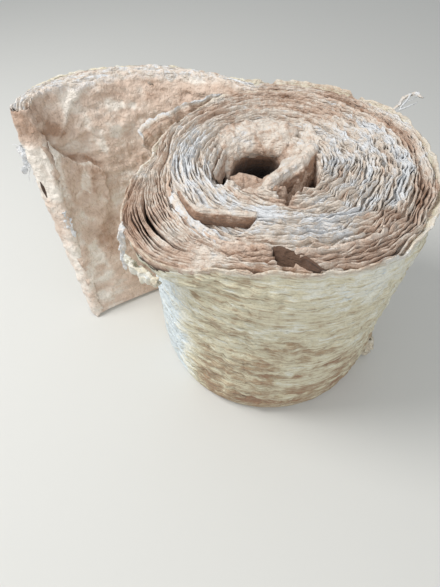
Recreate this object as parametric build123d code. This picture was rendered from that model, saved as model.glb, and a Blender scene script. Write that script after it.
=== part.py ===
from build123d import *
from math import cos, radians, sin
import os

# A hand-wound roll of glass wool blanket, standing on one end with its outer end hanging loose.
# Millimetres. The bore's axis is the Z axis, the floor is z = 0, and the loose end leaves to -X.

# The blanket as it is wound
blanket_width = 570.0
turn_pitch = 47.0
turn_count = 6
bore_radius = 32.0

# How the turns show on the two ends
top_groove_width = 28.0
top_groove_depth = 21.0
base_groove_width = 18.0
base_groove_depth = 18.0
top_grooved_turns = 4
base_grooved_turns = 3
cut_margin = 3.0

# The collapsed middle of the upper end: a slanting funnel down to the bore, left of the centre,
# and a curved pocket beside it. What stands between the two is the blanket's inner end.
hollow_mouth_radius = 90.0
hollow_floor_ledge = 2.0
hollow_depth = 115.0
hollow_centre_x = -52.0
hollow_centre_y = 20.0
pocket_centre_x = -42.0
pocket_centre_y = 8.0
pocket_inner_radius = 94.0
pocket_width = 24.0
pocket_depth = 85.0
pocket_start = -68.0
pocket_sweep = 93.0

# At the front left the outermost turn has slipped down, as far in as the turn inside it.
# Angles are about the bore, anticlockwise from +X.
slip_drop = 30.0
slip_start = 168.0
slip_end = 249.0
slip_inner_radius = 222.0
slip_tear_start = 222.0
slip_tear_radius = 172.0
slip_outer_radius = 400.0

# There its layers also hang out over the side, as a collar that fades out both ways
collar_foot = 430.0
collar_lip = 495.0
collar_top = 530.0
collar_radius = 177.0
collar_angle = 208.0
collar_foot_reach = 284.0
collar_lip_reach = 346.0

# A piece is torn out of the front rim, behind its outermost layers. Its floor lies nearer the front.
torn_depth = 40.0
torn_mouth = [(-38.0, -232.0), (12.0, -252.0), (36.0, -281.0), (-16.0, -281.0)]
torn_floor = [(-30.0, -268.0), (8.0, -276.0), (26.0, -280.0), (-14.0, -280.0)]

# The loose end. Its upper edge peels off the roll, swings round and curls back at its end.
loose_thickness = 50.0
loose_edge_bevel = 12.0
top_peel_radius = 130.0
top_peel_turn = 35.0
top_swing_radius = 375.0
top_swing_turn = 60.0
top_reach_radius = 900.0
top_reach_turn = 4.0
top_curl_radius = 130.0
top_curl_turn = 62.0

# Its lower edge stays on the roll for longer, and then leaves almost straight
base_follow_turn = 50.0
base_peel_radius = 120.0
base_peel_turn = 27.0
base_reach_radius = 1200.0
base_reach_turn = 3.0
base_end_radius = 1800.0
base_end_turn = 6.5

# The winding is drawn as half circles about two centres, half a pitch apart
back_centre = -turn_pitch / 4
front_centre = turn_pitch / 4
back_radius = bore_radius + turn_count * turn_pitch
front_radius = back_radius - turn_pitch / 2
peeled_radius = back_radius - turn_pitch


def turned(profile, centre_x, start_angle, sweep):
    """Turns a profile drawn in the XZ plane about a vertical axis through centre_x."""
    axis = Axis((0, 0, 0), (0, 0, 1))
    solid = revolve(profile, axis, sweep)
    return Pos(centre_x, 0, 0) * Rot(0, 0, start_angle) * solid


def wall_sector(radius, centre_x, start_angle, sweep):
    """A plain sector of the wound body, as high as the blanket is wide."""
    profile = Plane.XZ * Pos(radius / 2, blanket_width / 2) * Rectangle(radius, blanket_width)
    return turned(profile, centre_x, start_angle, sweep)


def top_groove_profile(radius):
    """The gap above two blanket edges that meet at this radius. Half of it softens the rim."""
    top = blanket_width
    with BuildSketch(Plane.XZ) as sketch:
        with BuildLine():
            Polyline(
                (radius, top - top_groove_depth),
                (radius + top_groove_width / 2, top),
                (radius + top_groove_width / 2, top + cut_margin),
                (radius - top_groove_width / 2, top + cut_margin),
                (radius - top_groove_width / 2, top),
                close=True,
            )
        make_face()
    return sketch.sketch


def base_groove_profile(radius):
    """The same gap at the base, where the weight presses the edges together."""
    with BuildSketch(Plane.XZ) as sketch:
        with BuildLine():
            Polyline(
                (radius, base_groove_depth),
                (radius + base_groove_width / 2, 0),
                (radius + base_groove_width / 2, -cut_margin),
                (radius - base_groove_width / 2, -cut_margin),
                (radius - base_groove_width / 2, 0),
                close=True,
            )
        make_face()
    return sketch.sketch


def spiral_grooves(profile_at, turn_total):
    """One groove that follows the winding inwards from the rim, half circle by half circle."""
    pieces = [turned(profile_at(back_radius), back_centre, 0, 90)]
    for turn in range(turn_total):
        inwards = turn * turn_pitch
        pieces.append(turned(profile_at(front_radius - inwards), front_centre, 180, 180))
        pieces.append(turned(profile_at(peeled_radius - inwards), back_centre, 0, 180))
    return pieces


def bend_points(start, heading, bends):
    """The centre line through bends of a radius, right if negative, and a turn in degrees."""
    x, y = start
    runs = []
    for radius, turn in bends:
        side = 1 if radius > 0 else -1
        out = heading + side * turn
        nx = x + radius * (sin(radians(out)) - sin(radians(heading)))
        ny = y - radius * (cos(radians(out)) - cos(radians(heading)))
        runs.append(((x, y), (nx, ny), heading, out, radius))
        x, y, heading = nx, ny, out
    return runs


def offset_point(point, heading, distance):
    """A point moved to the left of the heading by a distance."""
    return (
        point[0] - distance * sin(radians(heading)),
        point[1] + distance * cos(radians(heading)),
    )


def loose_outline(bends, height, thickness):
    """The loose end's cut in plan, as one closed face at a height."""
    start = (back_centre, back_radius - loose_thickness / 2)
    runs = bend_points(start, 180.0, bends)
    half = thickness / 2
    with BuildSketch(Plane.XY.offset(height)) as sketch:
        with BuildLine():
            for begin, end, into, out, radius in runs:
                middle_heading = (into + out) / 2
                middle = bend_middle(begin, into, middle_heading, radius)
                ThreePointArc(
                    offset_point(begin, into, -half),
                    offset_point(middle, middle_heading, -half),
                    offset_point(end, out, -half),
                )
            last = runs[-1]
            Line(offset_point(last[1], last[3], -half), offset_point(last[1], last[3], half))
            for begin, end, into, out, radius in reversed(runs):
                middle_heading = (into + out) / 2
                middle = bend_middle(begin, into, middle_heading, radius)
                ThreePointArc(
                    offset_point(end, out, half),
                    offset_point(middle, middle_heading, half),
                    offset_point(begin, into, half),
                )
            first = runs[0]
            Line(offset_point(first[0], first[2], half), offset_point(first[0], first[2], -half))
        make_face()
    return sketch.sketch


def bend_middle(begin, into, middle_heading, radius):
    """The point half way round a bend."""
    return (
        begin[0] + radius * (sin(radians(middle_heading)) - sin(radians(into))),
        begin[1] - radius * (cos(radians(middle_heading)) - cos(radians(into))),
    )


def loose_end():
    """The outer end of the blanket: it peels off the roll, further at the top than at the floor."""
    top_bends = [
        (-top_peel_radius, top_peel_turn),
        (top_swing_radius, top_swing_turn),
        (top_reach_radius, top_reach_turn),
        (top_curl_radius, top_curl_turn),
    ]
    base_bends = [
        (back_radius - loose_thickness / 2, base_follow_turn),
        (-base_peel_radius, base_peel_turn),
        (base_reach_radius, base_reach_turn),
        (base_end_radius, base_end_turn),
    ]
    base = loose_outline(base_bends, 0, loose_thickness)
    shoulder = loose_outline(top_bends, blanket_width - loose_edge_bevel, loose_thickness)
    top = loose_outline(top_bends, blanket_width, loose_thickness - 2 * loose_edge_bevel)
    return loft([base, shoulder, top], ruled=True)


def on_angle(radius, angle):
    """A point of the plan by its distance from the bore's axis and its angle."""
    return (radius * cos(radians(angle)), radius * sin(radians(angle)))


def slipped_space():
    """The space over the slipped turn: its inner edge follows the winding and then tears inwards."""
    middle = (slip_start + slip_end) / 2
    tear_start = on_angle(slip_inner_radius, slip_tear_start)
    with BuildSketch(Plane.XY.offset(blanket_width - slip_drop)) as sketch:
        with BuildLine():
            ThreePointArc(
                on_angle(slip_inner_radius, slip_start),
                on_angle(slip_inner_radius, (slip_start + slip_tear_start) / 2),
                tear_start,
            )
            Line(tear_start, on_angle(slip_tear_radius, slip_end))
            Line(on_angle(slip_tear_radius, slip_end), on_angle(slip_outer_radius, slip_end))
            ThreePointArc(
                on_angle(slip_outer_radius, slip_end),
                on_angle(slip_outer_radius, middle),
                on_angle(slip_outer_radius, slip_start),
            )
            Line(on_angle(slip_outer_radius, slip_start), on_angle(slip_inner_radius, slip_start))
        make_face()
    return extrude(sketch.sketch, slip_drop + cut_margin)


def slipped_rim_groove():
    """The gap between the slipped turn's rim and the collar outside it."""
    lowered = Pos(0, 0, -slip_drop) * top_groove_profile(front_radius)
    return turned(lowered, front_centre, 180, slip_end - 180)


def rim_collar():
    """The layers that hang out: a slanting drum whose far side is hidden in the wound body."""
    foot_x, foot_y = on_angle(collar_foot_reach - collar_radius, collar_angle)
    lip_x, lip_y = on_angle(collar_lip_reach - collar_radius, collar_angle)
    foot = Pos(foot_x, foot_y, collar_foot) * Circle(collar_radius)
    lip = Pos(lip_x, lip_y, collar_lip) * Circle(collar_radius)
    top = Pos(lip_x, lip_y, collar_top) * Circle(collar_radius)
    return loft([foot, lip, top], ruled=True)


def torn_rim():
    """The space left by a piece torn out of the front rim."""
    mouth = Pos(0, 0, blanket_width) * make_face(Polyline(*torn_mouth, close=True))
    floor = Pos(0, 0, blanket_width - torn_depth) * make_face(Polyline(*torn_floor, close=True))
    return loft([floor, mouth], ruled=True)


def middle_hollow():
    """The collapsed middle: a wide mouth that slants down and in to the bore."""
    mouth = Pos(hollow_centre_x, hollow_centre_y, blanket_width) * Circle(hollow_mouth_radius)
    floor = Pos(0, 0, blanket_width - hollow_depth) * Circle(bore_radius + hollow_floor_ledge)
    return loft([mouth, floor], ruled=True)


def middle_pocket():
    """The gap between the inner end of the blanket and the turn outside it."""
    radius = pocket_inner_radius + pocket_width / 2
    section = Pos(radius, blanket_width - pocket_depth / 2) * Rectangle(pocket_width, pocket_depth)
    ring = revolve(Plane.XZ * section, Axis.Z, pocket_sweep)
    return Pos(pocket_centre_x, pocket_centre_y, 0) * Rot(0, 0, pocket_start) * ring


def wound_roll():
    """The whole roll: wound body, loose end and collar, less its grooves, tears, bore and hollow."""
    body = wall_sector(back_radius, back_centre, 0, 90)
    body += wall_sector(peeled_radius, back_centre, 90, 90)
    body += wall_sector(front_radius, front_centre, 180, 180)
    body += rim_collar()
    body += loose_end()
    body -= slipped_space()
    body -= slipped_rim_groove()
    for piece in spiral_grooves(top_groove_profile, top_grooved_turns):
        body -= piece
    for piece in spiral_grooves(base_groove_profile, base_grooved_turns):
        body -= piece
    body -= Pos(0, 0, blanket_width / 2) * Cylinder(bore_radius, 2 * blanket_width)
    body -= middle_hollow()
    body -= middle_pocket()
    body -= torn_rim()
    return body


os.makedirs("parts", exist_ok=True)
roll = wound_roll()
print("solids", len(roll.solids()), "volume", roll.volume / 1e9, "valid", roll.is_valid)
print(roll.bounding_box())
export_step(roll, "parts/blanket_roll.step")
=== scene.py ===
import bpy
import numpy as np
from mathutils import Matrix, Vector


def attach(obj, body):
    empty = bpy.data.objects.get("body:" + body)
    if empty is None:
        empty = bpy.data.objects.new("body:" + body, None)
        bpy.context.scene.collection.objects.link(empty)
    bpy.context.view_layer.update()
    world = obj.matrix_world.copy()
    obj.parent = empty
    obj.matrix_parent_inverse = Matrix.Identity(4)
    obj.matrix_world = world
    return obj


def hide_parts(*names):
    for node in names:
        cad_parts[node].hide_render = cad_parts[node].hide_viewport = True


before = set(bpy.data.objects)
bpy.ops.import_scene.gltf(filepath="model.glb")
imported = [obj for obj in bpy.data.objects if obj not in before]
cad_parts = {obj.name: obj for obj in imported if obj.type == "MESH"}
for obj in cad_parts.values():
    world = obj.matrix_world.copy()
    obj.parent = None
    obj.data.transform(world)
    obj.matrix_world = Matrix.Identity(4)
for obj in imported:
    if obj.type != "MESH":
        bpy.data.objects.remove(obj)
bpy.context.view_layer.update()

# A hand-wound roll of aged glass wool blanket, stood on one end. Metres, as in the frame.
# The blanket is a spiral that opens anticlockwise from the bore and leaves at the back left.

blanket = {
    "width": 0.570,           # the roll's height
    "pitch": 0.047,           # one wound turn
    "thickness": 0.050,       # the outermost turn and the loose end
    "rimRadius": 0.30225,     # the rim at angle 0, which is +X
    "innerAngle": -1560.0,    # where the spiral starts, in degrees back from angle 0
    "peelAngle": 92.33,       # where the outer end leaves the roll
    "columnStep": 0.0042,     # spacing of the mesh along the blanket
    "boreRadius": 0.032,
    # the loose end: where it starts, its heading in degrees, and its bends at its two edges as radius
    # (right if negative) and turn in degrees
    "looseStart": (-0.01175, 0.289),
    "looseHeading": 180.0,
    "looseTop": [(-0.130, 35), (0.375, 60), (0.900, 4), (0.130, 62)],
    "looseBase": [(0.289, 50), (-0.120, 27), (1.200, 3), (1.800, 6.5)],
    "looseBlend": (-0.02, 0.06),  # along the blanket, where the wound part becomes the loose end
}


def report(text):
    print("stage:", text)


# Shapes of numbers that every piece uses

mixers = (374761393, 668265263, 1440662683, 1274126177, 1103515245)  # large odd numbers
lowBits = 0xFFFFFFFF


def ramp(value, low, high):  # 0 below low, 1 above high, smooth between them
    t = np.clip((value - low) / (high - low), 0, 1)
    return t * t * (3 - 2 * t)


def span(value, low, high, soft):  # 1 between low and high, with soft ends
    return ramp(value, low - soft, low + soft) * (1 - ramp(value, high - soft, high + soft))


def sector(angle, start, end, soft):  # 1 between two angles in degrees, across 0 too
    before = 90
    return span((angle - start + before) % 360, before, before + end - start, soft)


def corner(ix, iy, iz, seed):  # a repeatable number from 0 to 1 for each corner of the noise
    forX, forY, forZ, forSeed, again = mixers
    mixed = (ix * forX + iy * forY + iz * forZ + seed * forSeed) & lowBits
    mixed = ((mixed ^ (mixed >> 13)) * again) & lowBits
    mixed = ((mixed ^ (mixed >> 16)) * forY) & lowBits
    return ((mixed >> 12) & 0xFFFF) / 0xFFFF


def noise(x, y, z, seed):  # smooth noise from -1 to 1
    x, y, z = np.broadcast_arrays(x, y, z)
    ix, iy, iz = (np.floor(v).astype(np.int64) for v in (x, y, z))
    fx, fy, fz = x - ix, y - iy, z - iz
    fx, fy, fz = (f * f * (3 - 2 * f) for f in (fx, fy, fz))
    total = 0
    for dx in (0, 1):
        for dy in (0, 1):
            for dz in (0, 1):
                weight = (fx if dx else 1 - fx) * (fy if dy else 1 - fy) * (fz if dz else 1 - fz)
                total = total + weight * corner(ix + dx, iy + dy, iz + dz, seed)
    return total * 2 - 1


def cloudy(x, y, z, seed, octaves=3):  # noise with finer noise on it, from about -1 to 1
    finer, fading, strength = 2.03, 0.9, 1.5
    total = 0
    size = 0
    for octave in range(octaves):
        scale = finer ** octave
        total = total + noise(x * scale, y * scale, z * scale, seed + octave) / scale ** fading
        size += 1 / scale ** fading
    return total / size * strength


def creased(x, y, z, seed):  # crumpled wool: rounded lumps with sharp creases between them
    finer, strength, middle = 1.9, 2.2, 0.7
    total = 0
    for octave, share in enumerate((1.0, 0.55, 0.3)):
        scale = finer ** octave
        lumps = np.abs(noise(x * scale, y * scale, z * scale, seed + octave))
        total = total + share * (lumps * strength - middle)
    return total


def unit(vectors):
    return vectors / np.linalg.norm(vectors, axis=-1, keepdims=True)


# The blanket's middle line, at its upper and lower edge

def bendPath(start, heading, bends, steps):
    x, y = start
    points = []
    for (radius, turn), count in zip(bends, steps):
        out = heading + (turn if radius > 0 else -turn)
        at = np.radians(np.linspace(heading, out, count + 1)[1:])
        into = np.radians(heading)
        points.append(np.stack([x + radius * (np.sin(at) - np.sin(into)),
                                y - radius * (np.cos(at) - np.cos(into)), at], axis=1))
        x, y = points[-1][-1, :2]
        heading = out
    return np.concatenate(points)


def spiralPath(fromAngle, toAngle, step):  # points on the wound part's middle line
    finePoints = 40000
    fine = np.radians(np.linspace(fromAngle, toAngle, finePoints))
    radius = blanket["rimRadius"] + blanket["pitch"] * fine / (2 * np.pi) - blanket["thickness"] / 2
    run = np.concatenate([[0], np.cumsum(radius[1:] * np.diff(fine))])
    count = int(run[-1] / step)
    angle = np.interp(np.linspace(0, run[-1], count), run, fine)
    radius = np.interp(angle, fine, radius)
    return np.stack([radius * np.cos(angle), radius * np.sin(angle), angle + np.pi / 2], axis=1)


def blanketPath(fromAngle, step):
    wound = spiralPath(fromAngle, blanket["peelAngle"], step)
    lengths = [abs(radius) * np.radians(turn) for radius, turn in blanket["looseTop"]]
    steps = [max(3, int(length / step)) for length in lengths]
    start, heading = blanket["looseStart"], blanket["looseHeading"]
    top = np.concatenate([wound, bendPath(start, heading, blanket["looseTop"], steps)])
    base = np.concatenate([wound, bendPath(start, heading, blanket["looseBase"], steps)])
    run = np.concatenate([[0], np.cumsum(np.hypot(*np.diff(top[:, :2], axis=0).T))])
    return {"top": top, "base": base, "run": run - run[len(wound) - 1]}


def onBlanket(path, across, height, shift=0.0):
    # a point of the blanket by its column, its place across the thickness and its height
    highest = 1.05  # the layers' tips may stand a little over the blanket's width
    t = np.clip(height / blanket["width"], 0, highest)
    points = []
    for line in ("base", "top"):
        at = path[line][:, 2]
        facing = np.stack([np.sin(at), -np.cos(at)], axis=1)
        columns = (slice(None),) + (None,) * (np.ndim(across) - 1)
        points.append((path[line][:, :2][columns], facing[columns]))
    middle, facing = (low * (1 - t)[..., None] + high * t[..., None] for low, high in zip(*points))
    flat = middle + unit(facing) * (across + shift)[..., None]
    return np.concatenate([flat, height[..., None]], axis=-1)


# The upper end: how high its layers reach, how deep the gaps go, and where it is brown or white

endShape = {
    "layerDepth": 0.015,                       # from the layers' tips down to the solid wool
    "wobble": 0.09,                            # how uneven the edges round the middle are
    "wobbleSize": 0.045,
    "mouth": (-0.051, 0.013, 0.098, 0.110),    # the collapsed middle: centre, half sizes
    "mouthWall": (0.52, 1.02),                 # where it falls, as shares of the half sizes
    "mouthDrop": 0.048,
    "ridgeRise": 0.6,                          # the share of that drop that the right side lacks
    "ridgeSlant": 0.55,                        # the right side starts where x + slant * y is in ridgeSide
    "ridgeSide": (-0.03, 0.03),
    "hole": (-0.044, 0.014, 0.060, 0.082),
    "holeWall": (0.68, 1.02),
    "holeDrop": 0.092,
    "throat": (-0.036, -0.004, 0.046, 0.046),  # where the hole becomes the bore's shaft
    "throatTop": 0.400,
    "leftPocket": (-0.128, -0.020, 0.018, 0.055),
    "leftPocketWall": (0.7, 1.15),
    "leftPocketDrop": 0.034,
    "sagDrop": 0.030,                          # the turns at the front left have slipped down
    "sagAngles": (168, 248),
    "sagEdge": 0.003,
    "sagRagged": 0.002,
    "sagSoft": (2, 14),                        # its ends' softness in degrees, and what the rim adds
    "sagSofter": (0.185, 0.23),
    # from which radius, and fully from which, the rim hangs lower, between which angles, how softly
    # and by how much
    "rimDrops": [(0.25, 0.27, 190, 238, 8, 0.020), (0.25, 0.27, 128, 180, 10, 0.022),
                 (0.24, 0.30, 238, 330, 15, 0.012)],
}

# The pocket beside the blanket's inner end, between that end's ridge and a lip further to the front
pocket = {
    "ridge": [(-0.050, -0.080), (-0.030, -0.066), (-0.004, -0.042), (0.024, -0.018), (0.044, -0.002),
              (0.074, 0.046)],
    "lip": [(-0.026, -0.104), (-0.002, -0.136), (0.004, -0.117), (0.031, -0.0945), (0.063, -0.067),
            (0.073, -0.052)],
    "narrowest": 0.004,
    "leftEnd": (-0.036, -0.020),
    "rightEnd": (0.0675, 0.0715),
    "farWall": (0.0, 0.75),     # as shares of the way from the ridge to the lip
    "nearWall": (0.95, 1.0),
    "drop": 0.075,
    "leftShare": 0.55,          # how deep it is at the left
    "deepening": (0.0, 0.06),
}

# The hollow where a piece is torn out of the front rim, between a far and a near edge
bite = {
    "far": [(-0.040, -0.231), (-0.005, -0.243), (0.015, -0.2575), (0.038, -0.286)],
    "near": [(-0.040, -0.242), (-0.034, -0.262), (-0.024, -0.278), (0.038, -0.283)],
    "sides": (-0.038, 0.036, 0.002),
    "wall": 0.003,
}

endStains = {
    "cloud": 0.75,
    "cloudSize": 0.085,
    # patches: radius from and to and how softly, angle from and to and how softly, how brown they are
    "patches": [
        (0.222, 0.2345, 0.003, 196, 236, 4, -1.9), (0.10, 0.15, 0.010, 215, 275, 10, 0.8),
        (0.17, 0.40, 0.030, 40, 140, 15, 0.8), (0.10, 0.24, 0.015, 150, 210, 12, -0.6),
        (0.20, 0.27, 0.010, 295, 320, 6, 0.6), (0.2425, 0.40, 0.0075, 226, 300, 8, 1.4),
        (0.15, 0.215, 0.015, 248, 292, 6, -0.9), (0.222, 0.247, 0.008, -35, 45, 8, -1.2),
        (0.258, 0.36, 0.004, 184, 230, 5, 1.5), (0.262, 0.283, 0.005, -35, 65, 6, 1.0),
    ],
    # along the edge of the slipped part, and in the hole, the pocket and the torn rim: how brown
    "slip": 1.3,
    "slipAcross": (-0.004, 0.008, 0.003),
    "slipAngles": (206, 249, 3),
    "hole": 1.6,
    "holeEdge": (0.8, 1.3),
    "pocket": 1.6,
    "pocketEdge": (0.002, 0.012),
    "bite": 1.9,
}


def polar(x, y):
    return np.hypot(x, y), np.degrees(np.arctan2(y, x)) % 360


def between(x, line):  # a line's y at x
    points = np.array(line)
    return np.interp(x, points[:, 0], points[:, 1])


def pocketDepth(x, y):
    far, near = between(x, pocket["ridge"]), between(x, pocket["lip"])
    t = (far - y) / np.maximum(far - near, pocket["narrowest"])
    inside = ramp(x, *pocket["leftEnd"]) * (1 - ramp(x, *pocket["rightEnd"]))
    walls = ramp(t, *pocket["farWall"]) * (1 - ramp(t, *pocket["nearWall"]))
    deeper = (1 - pocket["leftShare"]) * ramp(x, *pocket["deepening"])
    return pocket["drop"] * inside * walls * (pocket["leftShare"] + deeper)


def inEllipse(x, y, shape):  # 1 on the edge of an ellipse, less inside it
    cx, cy, sx, sy = shape
    return np.hypot((x - cx) / sx, (y - cy) / sy)


def slipEdge(angle):  # how far from the bore the slipped part starts: an arc, then a straight tear
    arcRadius, arcEnd, tearNearest, tearFacing, leastCosine = 0.222, 222, 0.1667, 263.3, 0.3
    torn = tearNearest / np.maximum(np.cos(np.radians(angle - tearFacing)), leastCosine)
    return np.where(angle < arcEnd, arcRadius, torn)


def endHeight(x, y):
    radius, angle = polar(x, y)
    coarse = endShape["wobbleSize"]
    wobble = endShape["wobble"] * noise(x / coarse, y / coarse, 0.0, 11)
    inMouth = 1 - ramp(inEllipse(x, y, endShape["mouth"]) + wobble, *endShape["mouthWall"])
    height = blanket["width"] - endShape["mouthDrop"] * inMouth
    rightSide = ramp(x + endShape["ridgeSlant"] * y, *endShape["ridgeSide"])
    height = height + endShape["ridgeRise"] * endShape["mouthDrop"] * inMouth * rightSide
    for name, uneven in (("hole", wobble), ("leftPocket", 0)):
        edge = inEllipse(x, y, endShape[name]) + uneven
        height = height - endShape[name + "Drop"] * (1 - ramp(edge, *endShape[name + "Wall"]))
    height = height - pocketDepth(x, y)
    edge = slipEdge(angle) + endShape["sagRagged"] * noise(angle / 9, 0.0, 0.0, 12)
    least, more = endShape["sagSoft"]
    softly = least + more * ramp(radius, *endShape["sagSofter"])
    sag = ramp(radius, edge - endShape["sagEdge"], edge + endShape["sagEdge"])
    sag = sag * span(angle, *endShape["sagAngles"], softly)
    height = height - endShape["sagDrop"] * sag
    for start, full, first, last, soft, drop in endShape["rimDrops"]:
        height = height - drop * ramp(radius, start, full) * span(angle, first, last, soft)
    return height


def biteDepth(x, y):  # 1 inside the torn hollow
    inside = ramp(between(x, bite["far"]) - y, 0.0, bite["wall"])
    inside = inside * ramp(y - between(x, bite["near"]), 0.0, bite["wall"])
    return inside * span(x, *bite["sides"])


def endStain(x, y):  # brown above 0, white below 0
    radius, angle = polar(x, y)
    coarse = endStains["cloudSize"]
    stain = endStains["cloud"] * cloudy(x / coarse, y / coarse, 0.0, 21)
    for fromRadius, toRadius, softly, fromAngle, toAngle, softAngle, brown in endStains["patches"]:
        inside = span(radius, fromRadius, toRadius, softly) * sector(angle, fromAngle, toAngle, softAngle)
        stain = stain + brown * inside
    slipped = span(radius - slipEdge(angle), *endStains["slipAcross"])
    stain = stain + endStains["slip"] * slipped * span(angle, *endStains["slipAngles"])
    holeSide = ramp(inEllipse(x, y, endShape["hole"]), *endStains["holeEdge"])
    stain = stain + endStains["hole"] * (1 - holeSide)
    stain = stain + endStains["pocket"] * ramp(pocketDepth(x, y), *endStains["pocketEdge"])
    inBite = biteDepth(x, y)
    return stain * (1 - inBite) + endStains["bite"] * inBite


# Meshes from grids of points

def outwards(points, faces):  # turns a closed mesh's faces to point outwards
    a, b, c, d = (points[faces[:, k]] for k in range(4))
    volume = np.sum(a * np.cross(b, c)) + np.sum(a * np.cross(c, d))
    return faces if volume > 0 else faces[:, ::-1]


def makeObject(name, points, faces, values):
    faces = outwards(points, faces)
    mesh = bpy.data.meshes.new(name)
    mesh.vertices.add(len(points))
    mesh.vertices.foreach_set("co", np.asarray(points, dtype=np.float32).ravel())
    mesh.loops.add(len(faces) * 4)
    mesh.loops.foreach_set("vertex_index", np.asarray(faces, dtype=np.int32).ravel())
    mesh.polygons.add(len(faces))
    mesh.polygons.foreach_set("loop_start", np.arange(0, len(faces) * 4, 4, dtype=np.int32))
    mesh.polygons.foreach_set("use_smooth", np.ones(len(faces), dtype=bool))
    mesh.update(calc_edges=True)
    mesh.validate()
    for key, value in values.items():
        layer = mesh.attributes.new(key, "FLOAT", "POINT")
        layer.data.foreach_set("value", np.asarray(value, dtype=np.float32).ravel())
    mesh.materials.append(wool)
    piece = bpy.data.objects.new(name, mesh)
    bpy.context.collection.objects.link(piece)
    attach(piece, "root")
    return piece


def tubeFaces(columns, around, first=0, capped=True):
    # quads over columns of points that each close into a loop, with both ends closed
    at = first + np.arange(columns * around).reshape(columns, around)
    nextRow = np.roll(at, -1, axis=1)
    faces = np.stack([at[:-1], nextRow[:-1], nextRow[1:], at[1:]], axis=-1).reshape(-1, 4)
    if not capped:
        return faces
    ends = []
    for ring, flipped in ((at[0], True), (at[-1], False)):
        for i in range(around // 2 - 1):
            quad = [ring[i], ring[i + 1], ring[around - 2 - i], ring[around - 1 - i]]
            ends.append(quad[::-1] if flipped else quad)
    return np.concatenate([faces, np.array(ends)])


# Shader arithmetic: a Wire is a socket that takes part in sums

class Wire:
    def __init__(self, tree, socket=None):
        self.tree = tree
        self.socket = socket

    def node(self, kind, settings, sockets, output=0):
        made = self.tree.nodes.new(kind)
        for key, value in settings.items():
            setattr(made, key, value)
        for key, value in sockets.items():
            if isinstance(value, Wire):
                self.tree.links.new(value.socket, made.inputs[key])
            else:
                made.inputs[key].default_value = value
        return Wire(self.tree, made.outputs[output])

    def sum(self, operation, first, second):
        return self.node("ShaderNodeMath", {"operation": operation}, {0: first, 1: second})

    def __add__(self, other):
        return self.sum("ADD", self, other)

    __radd__ = __add__

    def __sub__(self, other):
        return self.sum("SUBTRACT", self, other)

    def __rsub__(self, other):
        return self.sum("SUBTRACT", other, self)

    def __mul__(self, other):
        return self.sum("MULTIPLY", self, other)

    __rmul__ = __mul__

    def ramp(self, low, high):
        return self.node("ShaderNodeMapRange", {"interpolation_type": "SMOOTHSTEP"},
                         {"Value": self, "From Min": low, "From Max": high})


def paint(red, green, blue):  # a colour as the eye reads it, in 0 to 255
    value = np.array([red, green, blue]) / 255
    value = np.where(value <= 0.04045, value / 12.92, ((value + 0.055) / 1.055) ** 2.4)
    return (*value, 1.0)


woolColours = {
    "cream": paint(226, 215, 203),
    "white": paint(229, 231, 234),
    "tan": paint(205, 181, 163),
    "brown": paint(160, 127, 105),
    # painted shade for gaps, creases and hollows
    "shadeDark": paint(92, 70, 57),
    "shadeDarkest": paint(38, 30, 27),
    "straw": paint(224, 217, 190),
    "strawPale": paint(238, 237, 224),
    # the bluish white of the painted sky highlight on the side's left
    "strawSkyHighlight": paint(226, 236, 240),
    "strawBrown": paint(182, 160, 132),
    "rust": paint(164, 131, 106),
    "beige": paint(219, 198, 182),
    "beigePale": paint(240, 232, 222),
    "beigeBrown": paint(178, 147, 126),
}

woolLooks = {
    "finish": {"Roughness": 0.93, "Specular IOR Level": 0.18, "Sheen Weight": 0.12, "Sheen Roughness": 0.6},
    # patterns that lie along the blanket: how dense along, up and across it, detail, roughness
    "fibrePatterns": {"fibres": (16.0, 210.0, 40.0, 4.0, 0.65), "clumps": (26.0, 85.0, 30.0, 3.0, 0.55)},
    # patterns that are the same every way: how dense, detail, roughness
    "evenPatterns": {"fuzz": (260.0, 3.0, 0.7), "specks": (75.0, 4.0, 0.6), "blotches": (15.0, 3.0, 0.55),
                     "mottles": (42.0, 3.0, 0.55)},
    # for each face: how much the pieces' values and the patterns brown it, its palest colour, and
    # between which levels each browner colour comes in
    "side": {"values": {"stain": 0.42},
             "patterns": {"fibres": 4.0, "clumps": 2.0, "specks": 1.4, "blotches": 1.3},
             "palest": "strawSkyHighlight",
             "browner": [(-1.8, -0.9, "strawPale"), (-0.8, 0.0, "straw"), (0.0, 1.0, "strawBrown"),
                         (0.9, 1.7, "rust")]},
    "loose": {"values": {"stain": 0.40},
              "patterns": {"fibres": 0.5, "specks": 1.0, "blotches": 2.4},
              "palest": "beigePale",
              "browner": [(-1.0, 0.05, "beige"), (-0.05, 1.1, "beigeBrown")]},
    # the end's browning takes in half of the painted shade
    "end": {"values": {"stain": 0.42, "gap": 0.5},
            "patterns": {"specks": 1.6, "fuzz": 0.9},
            "palest": "white",
            "browner": [(-0.55, 0.02, "cream"), (0.0, 0.55, "tan"), (0.5, 1.1, "brown")]},
    # the painted shade's colours, and between which of its levels each comes in
    "gaps": [(0.50, 1.0, "shadeDark"), (1.0, 2.0, "shadeDarkest")],
    "relief": {"fibres": 0.45, "clumps": 1.1, "specks": 0.70, "fuzz": 0.16},
    "looseSmoother": 0.8,     # how much of the fibres' relief the loose face lacks
    "reliefHeight": 0.011,
}


def attribute(wire, name):
    return wire.node("ShaderNodeAttribute", {"attribute_name": name}, {}, 2)


def mixed(factor, first, second):
    return factor.node("ShaderNodeMix", {"data_type": "RGBA"}, {0: factor, 6: first, 7: second}, 2)


def texture(wire, vector, scale, detail, roughness):
    return wire.node("ShaderNodeTexNoise", {}, {"Vector": vector, "Scale": scale, "Detail": detail,
                                                "Roughness": roughness})


def fibreTexture(wire, along, up, across, detail, roughness):
    # the blanket's own coordinates, scaled apart so that fibres lie along it
    vector = wire.node("ShaderNodeCombineXYZ", {}, {0: attribute(wire, "along") * along,
                                                    1: attribute(wire, "up") * up,
                                                    2: attribute(wire, "across") * across})
    return texture(wire, vector, 1.0, detail, roughness)


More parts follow.
